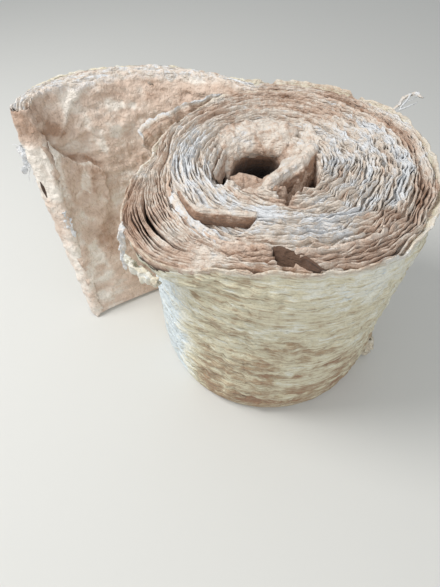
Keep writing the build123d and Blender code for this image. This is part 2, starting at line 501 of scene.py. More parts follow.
def newMaterial(name, finish):
    material = bpy.data.materials.new(name)
    material.use_nodes = True
    shader = material.node_tree.nodes["Principled BSDF"]
    for socket, value in finish.items():
        shader.inputs[socket].default_value = value
    return material, shader


def faceColour(wires, look):
    level = 0
    for name, share in look["values"].items():
        level = level + wires[name] * share
    for name, share in look["patterns"].items():
        level = level + (wires[name] - 0.5) * share
    colour = woolColours[look["palest"]]
    for low, high, browner in look["browner"]:
        colour = mixed(level.ramp(low, high), colour, woolColours[browner])
    return colour


def woolMaterial():
    # one wool for the whole blanket: the pieces' own values say side, loose face or layered end
    material, shader = newMaterial("aged_glass_wool", woolLooks["finish"])
    wire = Wire(material.node_tree)
    wires = {name: attribute(wire, name) for name in ("stain", "gap", "looseFace", "endFace")}
    for name, facts in woolLooks["fibrePatterns"].items():
        wires[name] = fibreTexture(wire, *facts)
    coordinates = wire.node("ShaderNodeTexCoord", {}, {}, 3)
    for name, facts in woolLooks["evenPatterns"].items():
        wires[name] = texture(wire, coordinates, *facts)

    colour = mixed(wires["looseFace"], faceColour(wires, woolLooks["side"]),
                   faceColour(wires, woolLooks["loose"]))
    colour = mixed(wires["endFace"], colour, faceColour(wires, woolLooks["end"]))
    # painted shade darkens the colour in gaps, creases and hollows
    for low, high, darker in woolLooks["gaps"]:
        colour = mixed(wires["gap"].ramp(low, high), colour, woolColours[darker])
    wire.tree.links.new(colour.socket, shader.inputs["Base Color"])

    relief = {name: wires[name] * share for name, share in woolLooks["relief"].items()}
    streaks = (relief["fibres"] + relief["clumps"]) * (1 - wires["looseFace"] * woolLooks["looseSmoother"])
    height = streaks + wires["mottles"] * wires["looseFace"] + relief["specks"] + relief["fuzz"]
    bump = wire.node("ShaderNodeBump", {}, {"Strength": 1.0, "Distance": woolLooks["reliefHeight"],
                                            "Height": height})
    wire.tree.links.new(bump.socket, shader.inputs["Normal"])
    return material


wool = woolMaterial()
report("materials")


# The thin layers that the blanket splits into along its upper edge

layers = {
    "count": 10,
    "inPiece": 2,
    "drops": (0.032, 0.019, 0.011, 0.0055, 0.0020, 0.0),     # below the tip, from the foot of a layer up
    "halves": (0.0030, 0.0029, 0.0027, 0.0022, 0.0014, 0.0),  # half its thickness there
    # how all layers sway together, everywhere and at the right: how far, how coarsely, seed, octaves
    "wave": (0.0065, 0.095, 61, 3),
    "meander": (0.0060, 0.024, 60, 2),
    # how each varies along the blanket by itself: how much, how coarsely, how unlike the next turn,
    # the noise's height, seed, octaves
    "ownWave": (0.0019, 0.026, 9.0, 0.0, 62, 3),
    "tipLarge": (0.0052, 0.16, 7.0, 0.0, 63, 2),
    "tipSmall": (0.0026, 0.015, 13.0, 0.0, 64, 3),
    "tears": (1.0, 0.060, 11.0, 0.0, 65, 2),
    "tearing": (0.45, 0.8),    # where the tears are this deep, the layer is torn down
    "looseLessTorn": 0.8,
    "woundWave": (0.6, 0.4),   # the share of the wave in the roll, and what the loose end adds
    "ownWaveMore": 0.8,        # how much more each sways by itself where the layers meander
    # where they meander: x - slant * y, at the rim less, and how much they do so everywhere
    "crumpledSlant": 0.25,
    "crumpledSide": (0.0, 0.10),
    "crumpledRim": (0.235, 0.27),
    "rimCalmer": 0.75,
    "crumpledLeast": 0.12,
    "lean": (0.0060, 0.085, 8.0, 3.0, 66, 3),
    "thin": (0.40, 0.03, 17.0, 5.0, 67, 2),
    "stains": (1.0, 0.085, 4.5, 0.0, 69, 3),
    "thinMiddle": 0.85,
    "bending": 1.6,            # how much of the lean is near the tip
    "grain": 0.0014,
    "grainSize": (0.012, 0.007, 9),  # how long, how tall, how unlike the next turn
    "tornDepth": 0.011,
    "biteDrop": 0.070,
    "mouthDrop": 0.060,
    "mouthEdge": (0.92, 1.03),
    "looseStain": -0.3,
    # painted shade between the layers: the depth below the tip at which it is full, how much torn tips add,
    # and less of it where the layers meander
    "gapDepth": 0.034,
    "gapFromTears": 0.5,
    "frontRim": (0.232, 0.250),  # the radius from which the painted shade in the gaps at the front is deeper
    "frontAngles": (205, 312, 10),
    "meanderPaler": 0.7,
    "endDrop": 0.012,
    "endRun": 0.012,
    "fanEndDrop": 0.030,       # the fanned layers go down into the wool at both ends
    "fanStartRun": 0.02,
    # the fanned layers' places across the thickness, and where along the blanket they are
    "fan": (3.35, 3.6, 3.8, 4.1, 4.3, 4.5, 4.9, 5.1, 5.35, 5.6, 5.9, 6.2, 6.5, 7.5, 8.2, 8.8),
    "fanRun": (-1.36, -0.99),
    "lipsFrom": -1.80,         # past this the outermost strip's lips stand for its first and last layer
}


def crumpled(x, y):  # 1 at the right, where the layers meander, less elsewhere
    least = layers["crumpledLeast"]
    rightSide = ramp(x - layers["crumpledSlant"] * y, *layers["crumpledSide"])
    calm = layers["rimCalmer"] * ramp(np.hypot(x, y), *layers["crumpledRim"])
    return least + (1 - least) * rightSide * (1 - calm)


def uneven(name, run, turnShift):  # how a layer varies along the blanket
    amount, coarse, unlike, level, seed, octaves = layers[name]
    return amount * cloudy(run / coarse, turnShift * unlike, level, seed, octaves)


def swaying(name, x, y):
    amount, coarse, seed, octaves = layers[name]
    return amount * cloudy(x / coarse, y / coarse, 0.0, seed, octaves)


def raggedTip(path, turnShift, offset):
    # how high a layer reaches: its column, its place among the turns and across the thickness
    run, top = path["run"], path["top"]
    loose = ramp(run, *blanket["looseBlend"])
    x = top[:, 0] + np.sin(top[:, 2]) * offset
    y = top[:, 1] - np.cos(top[:, 2]) * offset
    level = endHeight(x, y) * (1 - loose) + blanket["width"] * loose
    tip = level + uneven("tipLarge", run, turnShift)
    tip = tip + uneven("tipSmall", run, turnShift) * (1 + crumpled(x, y))
    torn = ramp(uneven("tears", run, turnShift), *layers["tearing"])
    tip = tip - layers["tornDepth"] * torn * (1 - layers["looseLessTorn"] * loose)
    tip = tip - layers["biteDrop"] * biteDepth(x, y)
    inMouth = 1 - ramp(inEllipse(x, y, endShape["mouth"]), *layers["mouthEdge"])
    tip = tip - layers["mouthDrop"] * inMouth
    return x, y, level, tip, loose


def layerWave(path, x, y, turnShift):
    loose = ramp(path["run"], *blanket["looseBlend"])
    wound, more = layers["woundWave"]
    wave = swaying("wave", x, y) * (wound + more * loose) + swaying("meander", x, y) * crumpled(x, y)
    own = uneven("ownWave", path["run"], turnShift)
    return wave + own * (1 + layers["ownWaveMore"] * crumpled(x, y))


def rimStain(x, y, loose):  # the upper end's stain, and an even one on the loose end
    return endStain(x, y) * (1 - loose) + layers["looseStain"] * loose


# The outermost turn and the loose end, as one thick strip

wrap = {
    "fromAngle": -290.0,
    "columnStep": 0.0058,
    "faceRows": 106,
    "baseRows": 12,
    "floorRows": 8,          # between the strip's two lips
    "floorInset": 0.010,
    "lipEnd": 0.2,           # how much the lips look like the layered end
    "baseRound": 0.010,
    "lips": [(0.0016, 0.0008), (0.0042, -0.0010), (0.0062, -0.0120)],  # in from the face, up from the tip
    # how far the rim's layers hang out, by angle about the bore
    "collar": [(168, 0.0), (177, 0.019), (185, 0.029), (192, 0.042), (197, 0.056), (203, 0.063),
               (212, 0.061), (219, 0.054), (227, 0.044), (232, 0.029), (243, 0.0)],
    "collarFoot": 0.420,
    "collarRise": 0.055,
    "collarShares": (0.8, 0.2),     # how much of it starts at its foot, and how much further up
    "collarUpper": (0.46, 0.53),
    "collarAcross": (-0.008, 0.010),
    "collarUneven": 0.012,
    "collarUnevenSize": 7.0,        # in degrees
    "collarRagged": 0.08,
    "collarRaggedSize": (6.0, 0.05),
    # the groove between the layers where they fan out: angles, places across, and its depth
    "groove": (186, 234, 6),
    "grooveAcross": (-0.003, 0.005, 0.002),
    "grooveDepth": 0.014,
    # relief of both faces: how deep, how long, how tall, how unlike the other face, seed
    "bulges": (0.0065, 0.20, 0.15, 3.0, 41),
    "folds": (0.0034, 0.11, 0.036, 5.0, 42),
    "ripples": (0.0024, 0.050, 0.017, 7.0, 43),
    "wrinkles": (0.0026, 0.024, 0.014, 9.0, 48),
    "rippleSlant": 0.09,
    "calmest": 0.35,         # the share of the relief at the strip's edges
    "calmFoot": (0.0, 0.05),
    "calmEdges": (0.004, 0.020),
    "smoothTop": (0.49, 0.54),  # the loose face's top, up to the lengths of smoothUntil
    "smoothUntil": (0.40, 0.47),
    "deepest": -0.030,
    "deepestAtRim": -0.002,  # the rim's layers stay inside the strip
    "rimFrom": (0.062, 0.040),
    "highest": 0.007,
    "baseInset": 0.004,
    "baseInsetHeight": 0.02,
    "layerInset": 0.003,     # how far inside the faces the strip's own layers are
    "waveFrom": (0.045, 0.005),
    "looseNarrowing": 0.32,  # how much thinner the loose end is at its upper edge
    "narrowing": (0.49, 0.57),
    "endRag": 0.010,
    "endRagRun": 0.03,
    "endRagSize": 0.02,
    # stains of both faces: how brown, how long, how tall, how unlike the other face, seed
    "clouds": [(0.9, 0.16, 0.10, 2.0, 45), (0.9, 0.05, 0.014, 1.0, 46)],
    # bands of the side: angles and how softly they end, heights between which they fade, how brown
    # the first is a brown stain low at the front with painted shade near the ground; the other two are a
    # painted sky highlight on the left side, strongest low down
    "bands": [(230, 330, 10, 0.06, 0.32, 2.0), (188, 222, 8, 0.36, 0.46, -3.2),
              (188, 230, 8, 0.90, 1.00, -1.4)],
    "patchRagged": (0.5, 3.0, 0.012),   # how ragged the patches are, how long and how tall
    "patchEdge": (0.5, 1.3),
    # patches of the side by angle about the bore, height, their half sizes, and how brown
    "patches": [
        (243, 0.343, 7, 0.012, 1.6), (251, 0.405, 4, 0.012, 1.2), (272, 0.208, 11, 0.011, 2.2),
        (266, 0.172, 6, 0.012, 1.8), (233, 0.435, 3, 0.022, 1.6), (246, 0.212, 7, 0.006, 1.3),
        (286, 0.115, 9, 0.030, 1.3), (262, 0.060, 14, 0.018, 1.0), (252, 0.290, 9, 0.020, 0.6),
        (269, 0.318, 9, 0.030, 1.1), (303, 0.200, 12, 0.080, 1.0), (275, 0.165, 6, 0.018, -1.6),
        (275, 0.403, 9, 0.004, -1.6), (300, 0.500, 16, 0.060, -1.3), (311, 0.080, 7, 0.040, 1.9),
        (120, 0.300, 30, 0.050, 0.8), (60, 0.180, 25, 0.060, 1.0), (20, 0.400, 15, 0.030, -1.0),
        (350, 0.120, 20, 0.040, 1.1),
    ],
    # painted shade in the wrinkles' hollows, and a little paler between them
    "wrinkleShade": 0.6,
    "wrinkleDeep": 0.9,      # the share of their depth at which the painted shade in them is full
    "betweenWrinkles": -0.15,
    "endPale": -1.6,
    "endPaleFrom": (0.06, 0.03),
    "rimDepth": (0.016, 0.004),   # how far down the layered end's look reaches on the faces
    "rimShare": 0.75,
    "looseRimLess": 0.6,
    # painted shade on the floor between the lips and in the groove of the fanned layers
    "floorGap": 0.45,
    "fanShade": 1.3,
}

# The loose end's inner face. Its places are lengths along the blanket from the peel, and heights
looseFace = {
    "lumps": (0.0060, 0.075, 0.085),  # how deep, how long, how tall
    # a curved ridge near the end and the crease of the folded lower corner
    "ridge": [(0.480, 0.562), (0.547, 0.530), (0.571, 0.504), (0.605, 0.482), (0.645, 0.468)],
    "ridgeHeight": 0.0080,
    "ridgeWidth": 0.013,
    # a painted highlight along the ridge's crest
    "ridgeHighlight": 1.6,
    "fold": [(0.668, 0.012), (0.607, 0.100), (0.561, 0.054)],
    "foldHeight": 0.0060,
    "foldWidth": 0.012,
    # how high the inner layer reaches that has torn off there
    "tear": [(0.530, 0.340), (0.535, 0.380), (0.559, 0.404), (0.589, 0.414), (0.623, 0.440),
             (0.645, 0.466), (0.674, 0.490)],
    "tearFrom": (0.525, 0.545),
    "tearStep": 0.004,
    "tornDepth": 0.013,
    "tornFade": (0.006, 0.040),
    "tornLip": 0.005,
    "lipFade": (0.03, 0.12),
    "tornEdge": (0.0, 0.014, 0.005),   # the painted shade in the recess above the tear: heights over it, and lengths
    "tornEdgeRun": (0.54, 0.65, 0.008),
    "tornShade": 2.2,
    "ridgeEdge": (0.002, 0.010),       # how far from the ridge's line the painted highlight reaches
    "patchRagged": (0.7, 0.03),        # how ragged the patches are, and how coarsely
    "patchEdge": (0.4, 1.3),
    # patches by length and height, their half sizes, and how brown
    "patches": [
        # the first is brown with painted shade, in the hollow beside the ridge above the tear
        (0.620, 0.500, 0.032, 0.020, 2.2), (0.655, 0.545, 0.025, 0.025, 1.3),
        (0.575, 0.550, 0.030, 0.012, 1.0), (0.430, 0.510, 0.022, 0.014, -2.2),
        (0.378, 0.504, 0.016, 0.012, -2.0), (0.505, 0.445, 0.016, 0.030, -1.6),
        (0.300, 0.530, 0.060, 0.030, -0.2), (0.445, 0.453, 0.020, 0.014, -1.0),
        (0.474, 0.398, 0.024, 0.012, -1.3), (0.560, 0.060, 0.070, 0.060, 1.0),
        (0.585, 0.300, 0.045, 0.050, 1.2), (0.600, 0.225, 0.035, 0.030, 1.0),
        (0.440, 0.400, 0.060, 0.030, 0.8), (0.200, 0.480, 0.060, 0.060, 0.5),
        (0.480, 0.280, 0.020, 0.060, -0.7), (0.585, 0.370, 0.010, 0.030, -2.0),
        (0.640, 0.150, 0.035, 0.100, -2.0), (0.660, 0.050, 0.026, 0.050, -2.0),
        (0.330, 0.560, 0.160, 0.007, -1.6), (0.637, 0.128, 0.024, 0.018, 2.4),
        (0.523, 0.514, 0.012, 0.040, -0.6), (0.362, 0.465, 0.012, 0.012, -1.6),
    ],
}


def rimLean(x, y, across, height):
    angle = polar(x, y)[1]
    coarse = wrap["collarUnevenSize"]
    foot = wrap["collarFoot"] + wrap["collarUneven"] * noise(angle / coarse, 0.0, 0.0, 32)
    places, leans = zip(*wrap["collar"])
    lower, upper = wrap["collarShares"]
    rise = lower * ramp(height, foot, foot + wrap["collarRise"])
    rise = rise + upper * ramp(height, *wrap["collarUpper"])
    long, tall = wrap["collarRaggedSize"]
    ragged = 1.0 + wrap["collarRagged"] * noise(angle / long, height / tall, 0.0, 31)
    return np.interp(angle, places, leans) * rise * ragged * ramp(across, *wrap["collarAcross"])


def fromLine(x, y, line):  # how far a point is from a broken line
    nearest = np.inf
    for (ax, ay), (bx, by) in zip(line[:-1], line[1:]):
        t = ((x - ax) * (bx - ax) + (y - ay) * (by - ay)) / ((bx - ax) ** 2 + (by - ay) ** 2)
        t = np.clip(t, 0, 1)
        nearest = np.minimum(nearest, np.hypot(x - ax - t * (bx - ax), y - ay - t * (by - ay)))
    return nearest


def looseRelief(runs, height):  # how far the loose end's inner face stands out
    deep, long, tall = looseFace["lumps"]
    out = deep * cloudy(runs / long, height / tall, 0.0, 47, 3)
    for name in ("ridge", "fold"):
        away = fromLine(runs, height, looseFace[name])
        out = out + looseFace[name + "Height"] * (1 - ramp(away, 0.0, looseFace[name + "Width"]))
    over = height - between(runs, looseFace["tear"])
    torn = ramp(runs, *looseFace["tearFrom"])
    step = looseFace["tearStep"]
    above = ramp(over, 0.0, step) * (1 - ramp(over, *looseFace["tornFade"]))
    below = ramp(-over, 0.0, step) * (1 - ramp(-over, *looseFace["lipFade"]))
    return out - looseFace["tornDepth"] * torn * above + looseFace["tornLip"] * torn * below


def loosePatches(runs, height):
    stain = 0 * height
    amount, coarse = looseFace["patchRagged"]
    millimetres = 1000
    for place, level, width, tall, brown in looseFace["patches"]:
        away = np.hypot((runs - place) / width, (height - level) / tall)
        ragged = amount * cloudy(runs / coarse, height / coarse, 0.0, int(millimetres * place), 3)
        stain = stain + brown * (1 - ramp(away + ragged, *looseFace["patchEdge"]))
    return stain


# the side's brown patches, and bands of brown stain with painted shade near the ground and of painted sky
# highlight on the left
def sidePatches(angle, height):
    stain = 0 * height
    for fromAngle, toAngle, softly, fading, faded, brown in wrap["bands"]:
        stain = stain + brown * span(angle, fromAngle, toAngle, softly) * (1 - ramp(height, fading, faded))
    amount, wide, high = wrap["patchRagged"]
    for middle, level, width, tall, brown in wrap["patches"]:
        away = np.hypot((angle - middle) / width, (height - level) / tall)
        ragged = amount * cloudy(angle / wide, height / high, 0.0, middle, 2)
        stain = stain + brown * (1 - ramp(away + ragged, *wrap["patchEdge"]))
    return stain


def wrapOutline(outerTip, innerTip):
    # one column's closed outline: up the outer face, over two thin lips, down the inner face, base
    half, foot = blanket["thickness"] / 2, wrap["baseRound"]
    up = np.linspace(0, 1, wrap["faceRows"])
    turn = np.linspace(0, np.pi, wrap["baseRows"] + 2)[1:-1]
    inset, rise = (np.array(value) for value in zip(*wrap["lips"]))
    lip = half - inset
    floor = np.linspace(half - wrap["floorInset"], -half + wrap["floorInset"], wrap["floorRows"])
    across = np.concatenate([0 * up + half, lip, floor, -lip[::-1], 0 * up - half, -half * np.cos(turn)])
    t = ((floor + half) / (2 * half))[None, :]
    height = np.concatenate([
        foot + up[None, :] * (outerTip[:, None] - foot),
        outerTip[:, None] + rise[None, :],
        innerTip[:, None] * (1 - t) + outerTip[:, None] * t - endShape["layerDepth"],
        innerTip[:, None] + rise[None, ::-1],
        foot + up[None, ::-1] * (innerTip[:, None] - foot),
        foot - foot * np.sin(turn)[None, :] + 0 * outerTip[:, None],
    ], axis=1)
    lipEnd = 0 * lip + wrap["lipEnd"]
    faceOnly = np.concatenate([0 * up, lipEnd, 0 * floor + 1, lipEnd, 0 * up, 0 * turn])
    return across, height, faceOnly


def creases(name, strip, slant=0.0):
    depth, long, tall, unlike, seed = wrap[name]
    return depth * creased(strip["run"] / long + slant, strip["height"] / tall, strip["outer"] * unlike, seed)


def wrapRelief(strip):  # how far the strip's faces stand away from flat ones
    run, height, outer, edge = strip["run"], strip["height"], strip["outer"], strip["edge"]
    deep, long, tall, unlike, seed = wrap["bulges"]
    relief = deep * cloudy(run / long, height / tall, outer * unlike, seed, 2)
    relief = relief + creases("folds", strip) + creases("ripples", strip, height / wrap["rippleSlant"])
    relief = relief + creases("wrinkles", strip)
    smoothTop = 1 - ramp(height, *wrap["smoothTop"]) * (1 - ramp(run, *wrap["smoothUntil"]))
    relief = relief - (outer < 0) * strip["loose"] * looseRelief(run, height) * smoothTop
    fromEdges = ramp(np.abs(strip["across"]), *wrap["calmEdges"])
    soft = ramp(height, *wrap["calmFoot"]) * (wrap["calmest"] + (1 - wrap["calmest"]) * fromEdges)
    nearBase = 1 - ramp(height, 0.0, wrap["baseInsetHeight"])
    relief = relief * soft - outer * wrap["baseInset"] * nearBase
    start, full = wrap["rimFrom"]
    nearRim = ramp(height, edge - start, edge - full)
    deepest = wrap["deepest"] + (wrap["deepestAtRim"] - wrap["deepest"]) * nearRim
    return outer * np.clip(outer * relief, deepest, wrap["highest"])


def wrapStain(strip):
    run, height, outer = strip["run"], strip["height"], strip["outer"]
    stain = 0
    for brown, long, tall, unlike, seed in wrap["clouds"]:
        stain = stain + brown * cloudy(run / long, height / tall, outer * unlike, seed, 3)
    # painted shade in the wrinkles' hollows
    inWrinkle = ramp(-creases("wrinkles", strip) / wrap["wrinkles"][0], 0.0, wrap["wrinkleDeep"])
    side = (1 - strip["loose"]) * sidePatches(strip["angle"], height)
    side = side + wrap["wrinkleShade"] * inWrinkle + wrap["betweenWrinkles"]
    # painted shade in the recess above the tear
    over = height - between(run, looseFace["tear"])
    nearTear = span(over, *looseFace["tornEdge"]) * span(run, *looseFace["tornEdgeRun"])
    # a painted highlight along the ridge
    onRidge = 1 - ramp(fromLine(run, height, looseFace["ridge"]), *looseFace["ridgeEdge"])
    inner = strip["loose"] * loosePatches(run, height)
    inner = inner + looseFace["tornShade"] * nearTear - looseFace["ridgeHighlight"] * onRidge
    return stain + np.where(outer > 0, side, inner)


def outerWrap():
    path = blanketPath(wrap["fromAngle"], wrap["columnStep"])
    run, top = path["run"], path["top"]
    layerPlace = blanket["thickness"] / 2 - wrap["layerInset"]
    shiftOut, shiftIn = (turn - top[:, 2] / (2 * np.pi) for turn in (1.0, 0.0))
    x, y, _, outerTip, loose = raggedTip(path, shiftOut, layerPlace)
    innerTip = raggedTip(path, shiftIn, -layerPlace)[3]
    across, height, faceOnly = wrapOutline(outerTip, innerTip)
    flat = np.zeros_like(height)
    across, outer = across + flat, np.sign(across) + flat
    angle = polar(x, y)[1][:, None]
    groove = span(angle, *wrap["groove"]) * span(across, *wrap["grooveAcross"]) * (faceOnly == 1)
    height = height - wrap["grooveDepth"] * groove
    edge = np.where(outer > 0, outerTip[:, None], innerTip[:, None])
    strip = {"run": run[:, None] + flat, "height": height, "across": across, "outer": outer,
             "edge": edge, "loose": loose[:, None], "angle": angle}

    wave = np.where(outer > 0, layerWave(path, x, y, shiftOut)[:, None],
                    layerWave(path, x, y, shiftIn)[:, None])
    start, full = wrap["waveFrom"]
    shift = wrapRelief(strip) + wave * ramp(height, edge - start, edge - full)
    squeeze = wrap["looseNarrowing"] * strip["loose"] * ramp(height, *wrap["narrowing"])
    shift = shift - across * squeeze + rimLean(x[:, None] + flat, y[:, None] + flat, across, height)
    points = onBlanket(path, across, height, shift)
    points[..., 2] = np.maximum(points[..., 2], 0.0)
    nearEnd = ramp(strip["run"], run[-1] - wrap["endRagRun"], run[-1])
    rag = wrap["endRag"] * nearEnd * noise(height / wrap["endRagSize"], outer, 0.0, 44)
    forward = np.stack([np.cos(top[:, 2]), np.sin(top[:, 2])], axis=1)[:, None, :]
    points[..., :2] += forward * rag[..., None]

    start, full = wrap["endPaleFrom"]
    nearEnd = (outer > 0) * ramp(strip["run"], run[-1] - start, run[-1] - full)
    stain = wrapStain(strip) * (1 - nearEnd) + wrap["endPale"] * nearEnd
    low, high = wrap["rimDepth"]
    rim = wrap["rimShare"] * ramp(height, edge - low, edge - high)
    endHere = np.maximum(faceOnly, rim * (1 - (outer > 0) * wrap["looseRimLess"] * strip["loose"]))
    stain = stain * (1 - endHere) + endHere * rimStain(x, y, loose)[:, None]
    # the strip's painted shade lies on its floor and in the groove
    values = {"along": strip["run"], "up": height, "across": across, "stain": stain,
              "looseFace": np.where(outer < 0, 1.0, nearEnd), "endFace": endHere,
              "gap": wrap["floorGap"] * (faceOnly == 1) + wrap["fanShade"] * groove}
    piece = makeObject("outer_turn_and_loose_end", points.reshape(-1, 3), tubeFaces(*height.shape), values)
    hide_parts("blanket_roll")


outerWrap()
report("outer turn and loose end")


# The wound turns inside the outermost one, with the bore, the collapsed middle and the base

core = {
    "columns": 400,
    "boreRows": 26,
    "endRows": 128,
    "endCloser": 1.2,         # above 1, the end's rows lie closer together near the middle
    "sideRows": 4,
    "sideHeights": (0.02, 0.48),
    "baseRows": 60,
    "peelRadius": 0.267,      # the roll's radius where the outer end leaves it, less a turn
    "sideInset": 0.75,        # as a share of the blanket's thickness
    "boreFoot": 0.012,
    "boreSwell": 0.008,
    "boreSwellSize": (1.6, 0.05),   # how often around, and how tall
    "throatBend": (0.45, 1.0),      # where the bore bends over to the throat
    "throatEdge": 0.10,
    "boreStain": 1.2,
    # painted shade in the bore
    "boreShade": 2.0,
    "boreRound": 0.044,       # the radius at which its mouth in the base meets the base
    "middleLumps": 0.010,
    "middleLumpSize": (0.036, 0.03),
    "middleLift": 0.008,
    "middleEdge": (0.85, 1.1),
    "layeredFrom": (0.9, 1.3),    # outside the hole, where the layers stand on the core
    "bareShade": 0.25,              # how much painted shade the core has between the layers
    "deepShade": 1.75,              # and how much more painted shade it has deep in the hole
    "deepHeights": (0.475, 0.538),
    "deepUntil": (0.5, 0.6),      # as shares of the way from the throat to the side
    "throatLift": 0.006,
    "biteDepth": 0.022,
    "baseGroove": 0.013,
    "baseGrooveWall": (0.72, 1.0),
    "baseGrain": 0.001,
    "baseGrainSize": 0.02,
    "baseLift": 0.001,
    "fibreRadius": 0.2,     # the radius at which its fibres are as long as on the blanket
}


def spiralPhase(x, y):  # how far a point is between two turns, from 0 to 1
    radius, angle = polar(x, y)
    outer = blanket["rimRadius"] + blanket["pitch"] * (angle / 360)
    return ((outer - radius) / blanket["pitch"]) % 1


def boreRing(theta, place, height):
    often, tall = core["boreSwellSize"]
    swell = core["boreSwell"] * cloudy(theta * often * np.cos(theta) ** 2, height / tall, theta * 0, 53)
    return (*(place * (1 + swell)), height, core["boreStain"], core["boreShade"])


def endRing(place, t):  # t is 0 at the throat and 1 at the side
    x, y = place
    edge = ramp(t, 0.0, core["throatEdge"])
    layered = ramp(inEllipse(x, y, endShape["hole"]), *core["layeredFrom"])
    level = endHeight(x, y) - endShape["layerDepth"] * layered
    inMouth = 1 - ramp(inEllipse(x, y, endShape["mouth"]), *core["middleEdge"])
    coarse, tall = core["middleLumpSize"]
    lumps = creased(x / coarse, y / coarse, level / tall, 51) * edge * inMouth
    level = level + core["middleLumps"] * lumps
    level = level + core["middleLift"] * inMouth - core["biteDepth"] * biteDepth(x, y)
    height = level * edge + (endShape["throatTop"] + core["throatLift"]) * (1 - edge)
    deep = (1 - ramp(height, *core["deepHeights"])) * (1 - ramp(t, *core["deepUntil"]))
    # painted shade between the layers, and more of it deep in the hole
    return x, y, height, endStain(x, y), core["bareShade"] + core["deepShade"] * deep


def baseRing(place):
    x, y = place
    groove = np.abs(spiralPhase(x, y) - 0.5) * 2
    height = core["baseGroove"] * ramp(groove, *core["baseGrooveWall"])
    coarse = core["baseGrainSize"]
    height = height + core["baseGrain"] * cloudy(x / coarse, y / coarse, 0.0, 52)
    mouth = core["boreFoot"] * (1 - ramp(np.hypot(x, y), blanket["boreRadius"], core["boreRound"]))
    return x, y, np.maximum(height, 0) + core["baseLift"] + mouth, 0.0, 0.0


def coreRings(theta):
    # from the bore's foot up, over the upper end, down the side and back along the base:
    # each ring's x, y, height, stain and painted shade
    around = np.stack([np.cos(theta), np.sin(theta)])
    turned = (np.degrees(theta) - 90) % 360
    inset = core["sideInset"] * blanket["thickness"]
    side = around * (core["peelRadius"] + blanket["pitch"] * turned / 360 - inset)
    bore = around * blanket["boreRadius"]
    cx, cy, sx, sy = endShape["throat"]
    throat = np.stack([cx + sx * np.cos(theta), cy + sy * np.sin(theta)])
    foot, top = core["boreFoot"], endShape["throatTop"]
    low, high = core["sideHeights"]
    for t in np.linspace(0, 1, core["boreRows"]):
        bend = ramp(t, *core["throatBend"])
        yield boreRing(theta, bore * (1 - bend) + throat * bend, foot + t * (top - foot))
    for t in np.linspace(0, 1, core["endRows"])[1:] ** core["endCloser"]:
        yield endRing(throat * (1 - t) + side * t, t)
    for t in np.linspace(1, 0, core["sideRows"] + 2)[1:-1]:
        yield (*side, low + t * (high - low), 0.0, 0.0)
    for t in np.linspace(1, 0, core["baseRows"]):
        yield baseRing(bore * (1 - t) + side * t)


def coreBody():
    theta = np.linspace(0, 2 * np.pi, core["columns"], endpoint=False)
    rings = [np.stack(np.broadcast_arrays(*ring)) for ring in coreRings(theta)]
    x, y, height, stain, gap = np.stack(rings, axis=2)
    values = {"along": theta[:, None] * core["fibreRadius"] + 0 * gap, "up": height,
              "across": np.hypot(x, y), "stain": stain, "looseFace": 0 * gap, "endFace": 0 * gap + 1,
              "gap": gap}
    columns, count = gap.shape
    faces = tubeFaces(columns + 1, count, capped=False) % (columns * count)
    piece = makeObject("wound_turns", np.stack([x, y, height], axis=-1).reshape(-1, 3), faces, values)
    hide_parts("blanket_roll")


coreBody()
report("wound turns")


def layerRibbon(fullPath, number, stretch=None):
    # a thin layer by its number from the inner face, over a stretch of the blanket or all of it
    count = layers["count"]
    first, last = stretch or (-np.inf, np.inf)
    if stretch is None and number in (0, count - 1):
        last = layers["lipsFrom"]
    kept = slice(*np.searchsorted(fullPath["run"], (first, last)))
    path = {key: value[kept] for key, value in fullPath.items()}
    run, top = path["run"], path["top"]
    turnShift = (number + 0.5) / count - top[:, 2] / (2 * np.pi)
    loose = ramp(run, *blanket["looseBlend"])
    thickness = blanket["pitch"] * (1 - loose) + blanket["thickness"] * (1 - wrap["looseNarrowing"]) * loose
    offset = ((number + 0.5) / count - 0.5) * thickness
    x, y, level, tip, loose = raggedTip(path, turnShift, offset)

    drop = np.array(layers["drops"] + layers["drops"][-2::-1])
    side = np.array(layers["halves"] + tuple(-half for half in layers["halves"][-2::-1]))
    height = tip[:, None] - drop[None, :]
    flat = np.zeros_like(height)
    runs, turns, middle = (value[:, None] + flat for value in (run, turnShift, offset))
    bend = (1 - drop / drop.max()) ** layers["bending"]
    thin = layers["thinMiddle"] + uneven("thin", run, turnShift)
    wave = layerWave(path, x, y, turnShift)
    across = middle + wave[:, None] + uneven("lean", run, turnShift)[:, None] * bend + side * thin[:, None]
    long, tall, unlike = layers["grainSize"]
    across = across + layers["grain"] * noise(runs / long, height / tall, turns * unlike, 68)
    lean = rimLean(x[:, None] + flat, y[:, None] + flat, middle, height)
    across = across + (runs > layers["lipsFrom"]) * lean
    end = ramp(runs, run[-1] - layers["endRun"], run[-1])
    start = 1 - ramp(runs, run[0], run[0] + layers["fanStartRun"])
    fallen = layers["endDrop"] * end + (stretch is not None) * layers["fanEndDrop"] * (start + end)
    points = onBlanket(path, across, height - fallen)

    stain = rimStain(x, y, loose) + uneven("stains", run, turnShift)
    # painted shade, deeper down between the layers
    depth = drop[None, :] + layers["gapFromTears"] * (level - tip)[:, None]
    radius, angle = polar(x, y)
    frontRim = ramp(radius, *layers["frontRim"]) * span(angle, *layers["frontAngles"]) * (1 - loose)
    gapLevel = 1 - layers["meanderPaler"] * crumpled(x, y) + frontRim
    return points, {"along": runs, "up": height, "across": across, "stain": stain[:, None] + flat,
                    "looseFace": flat, "endFace": flat + 1,
                    "gap": np.clip(depth / layers["gapDepth"], 0, 1) * gapLevel[:, None]}


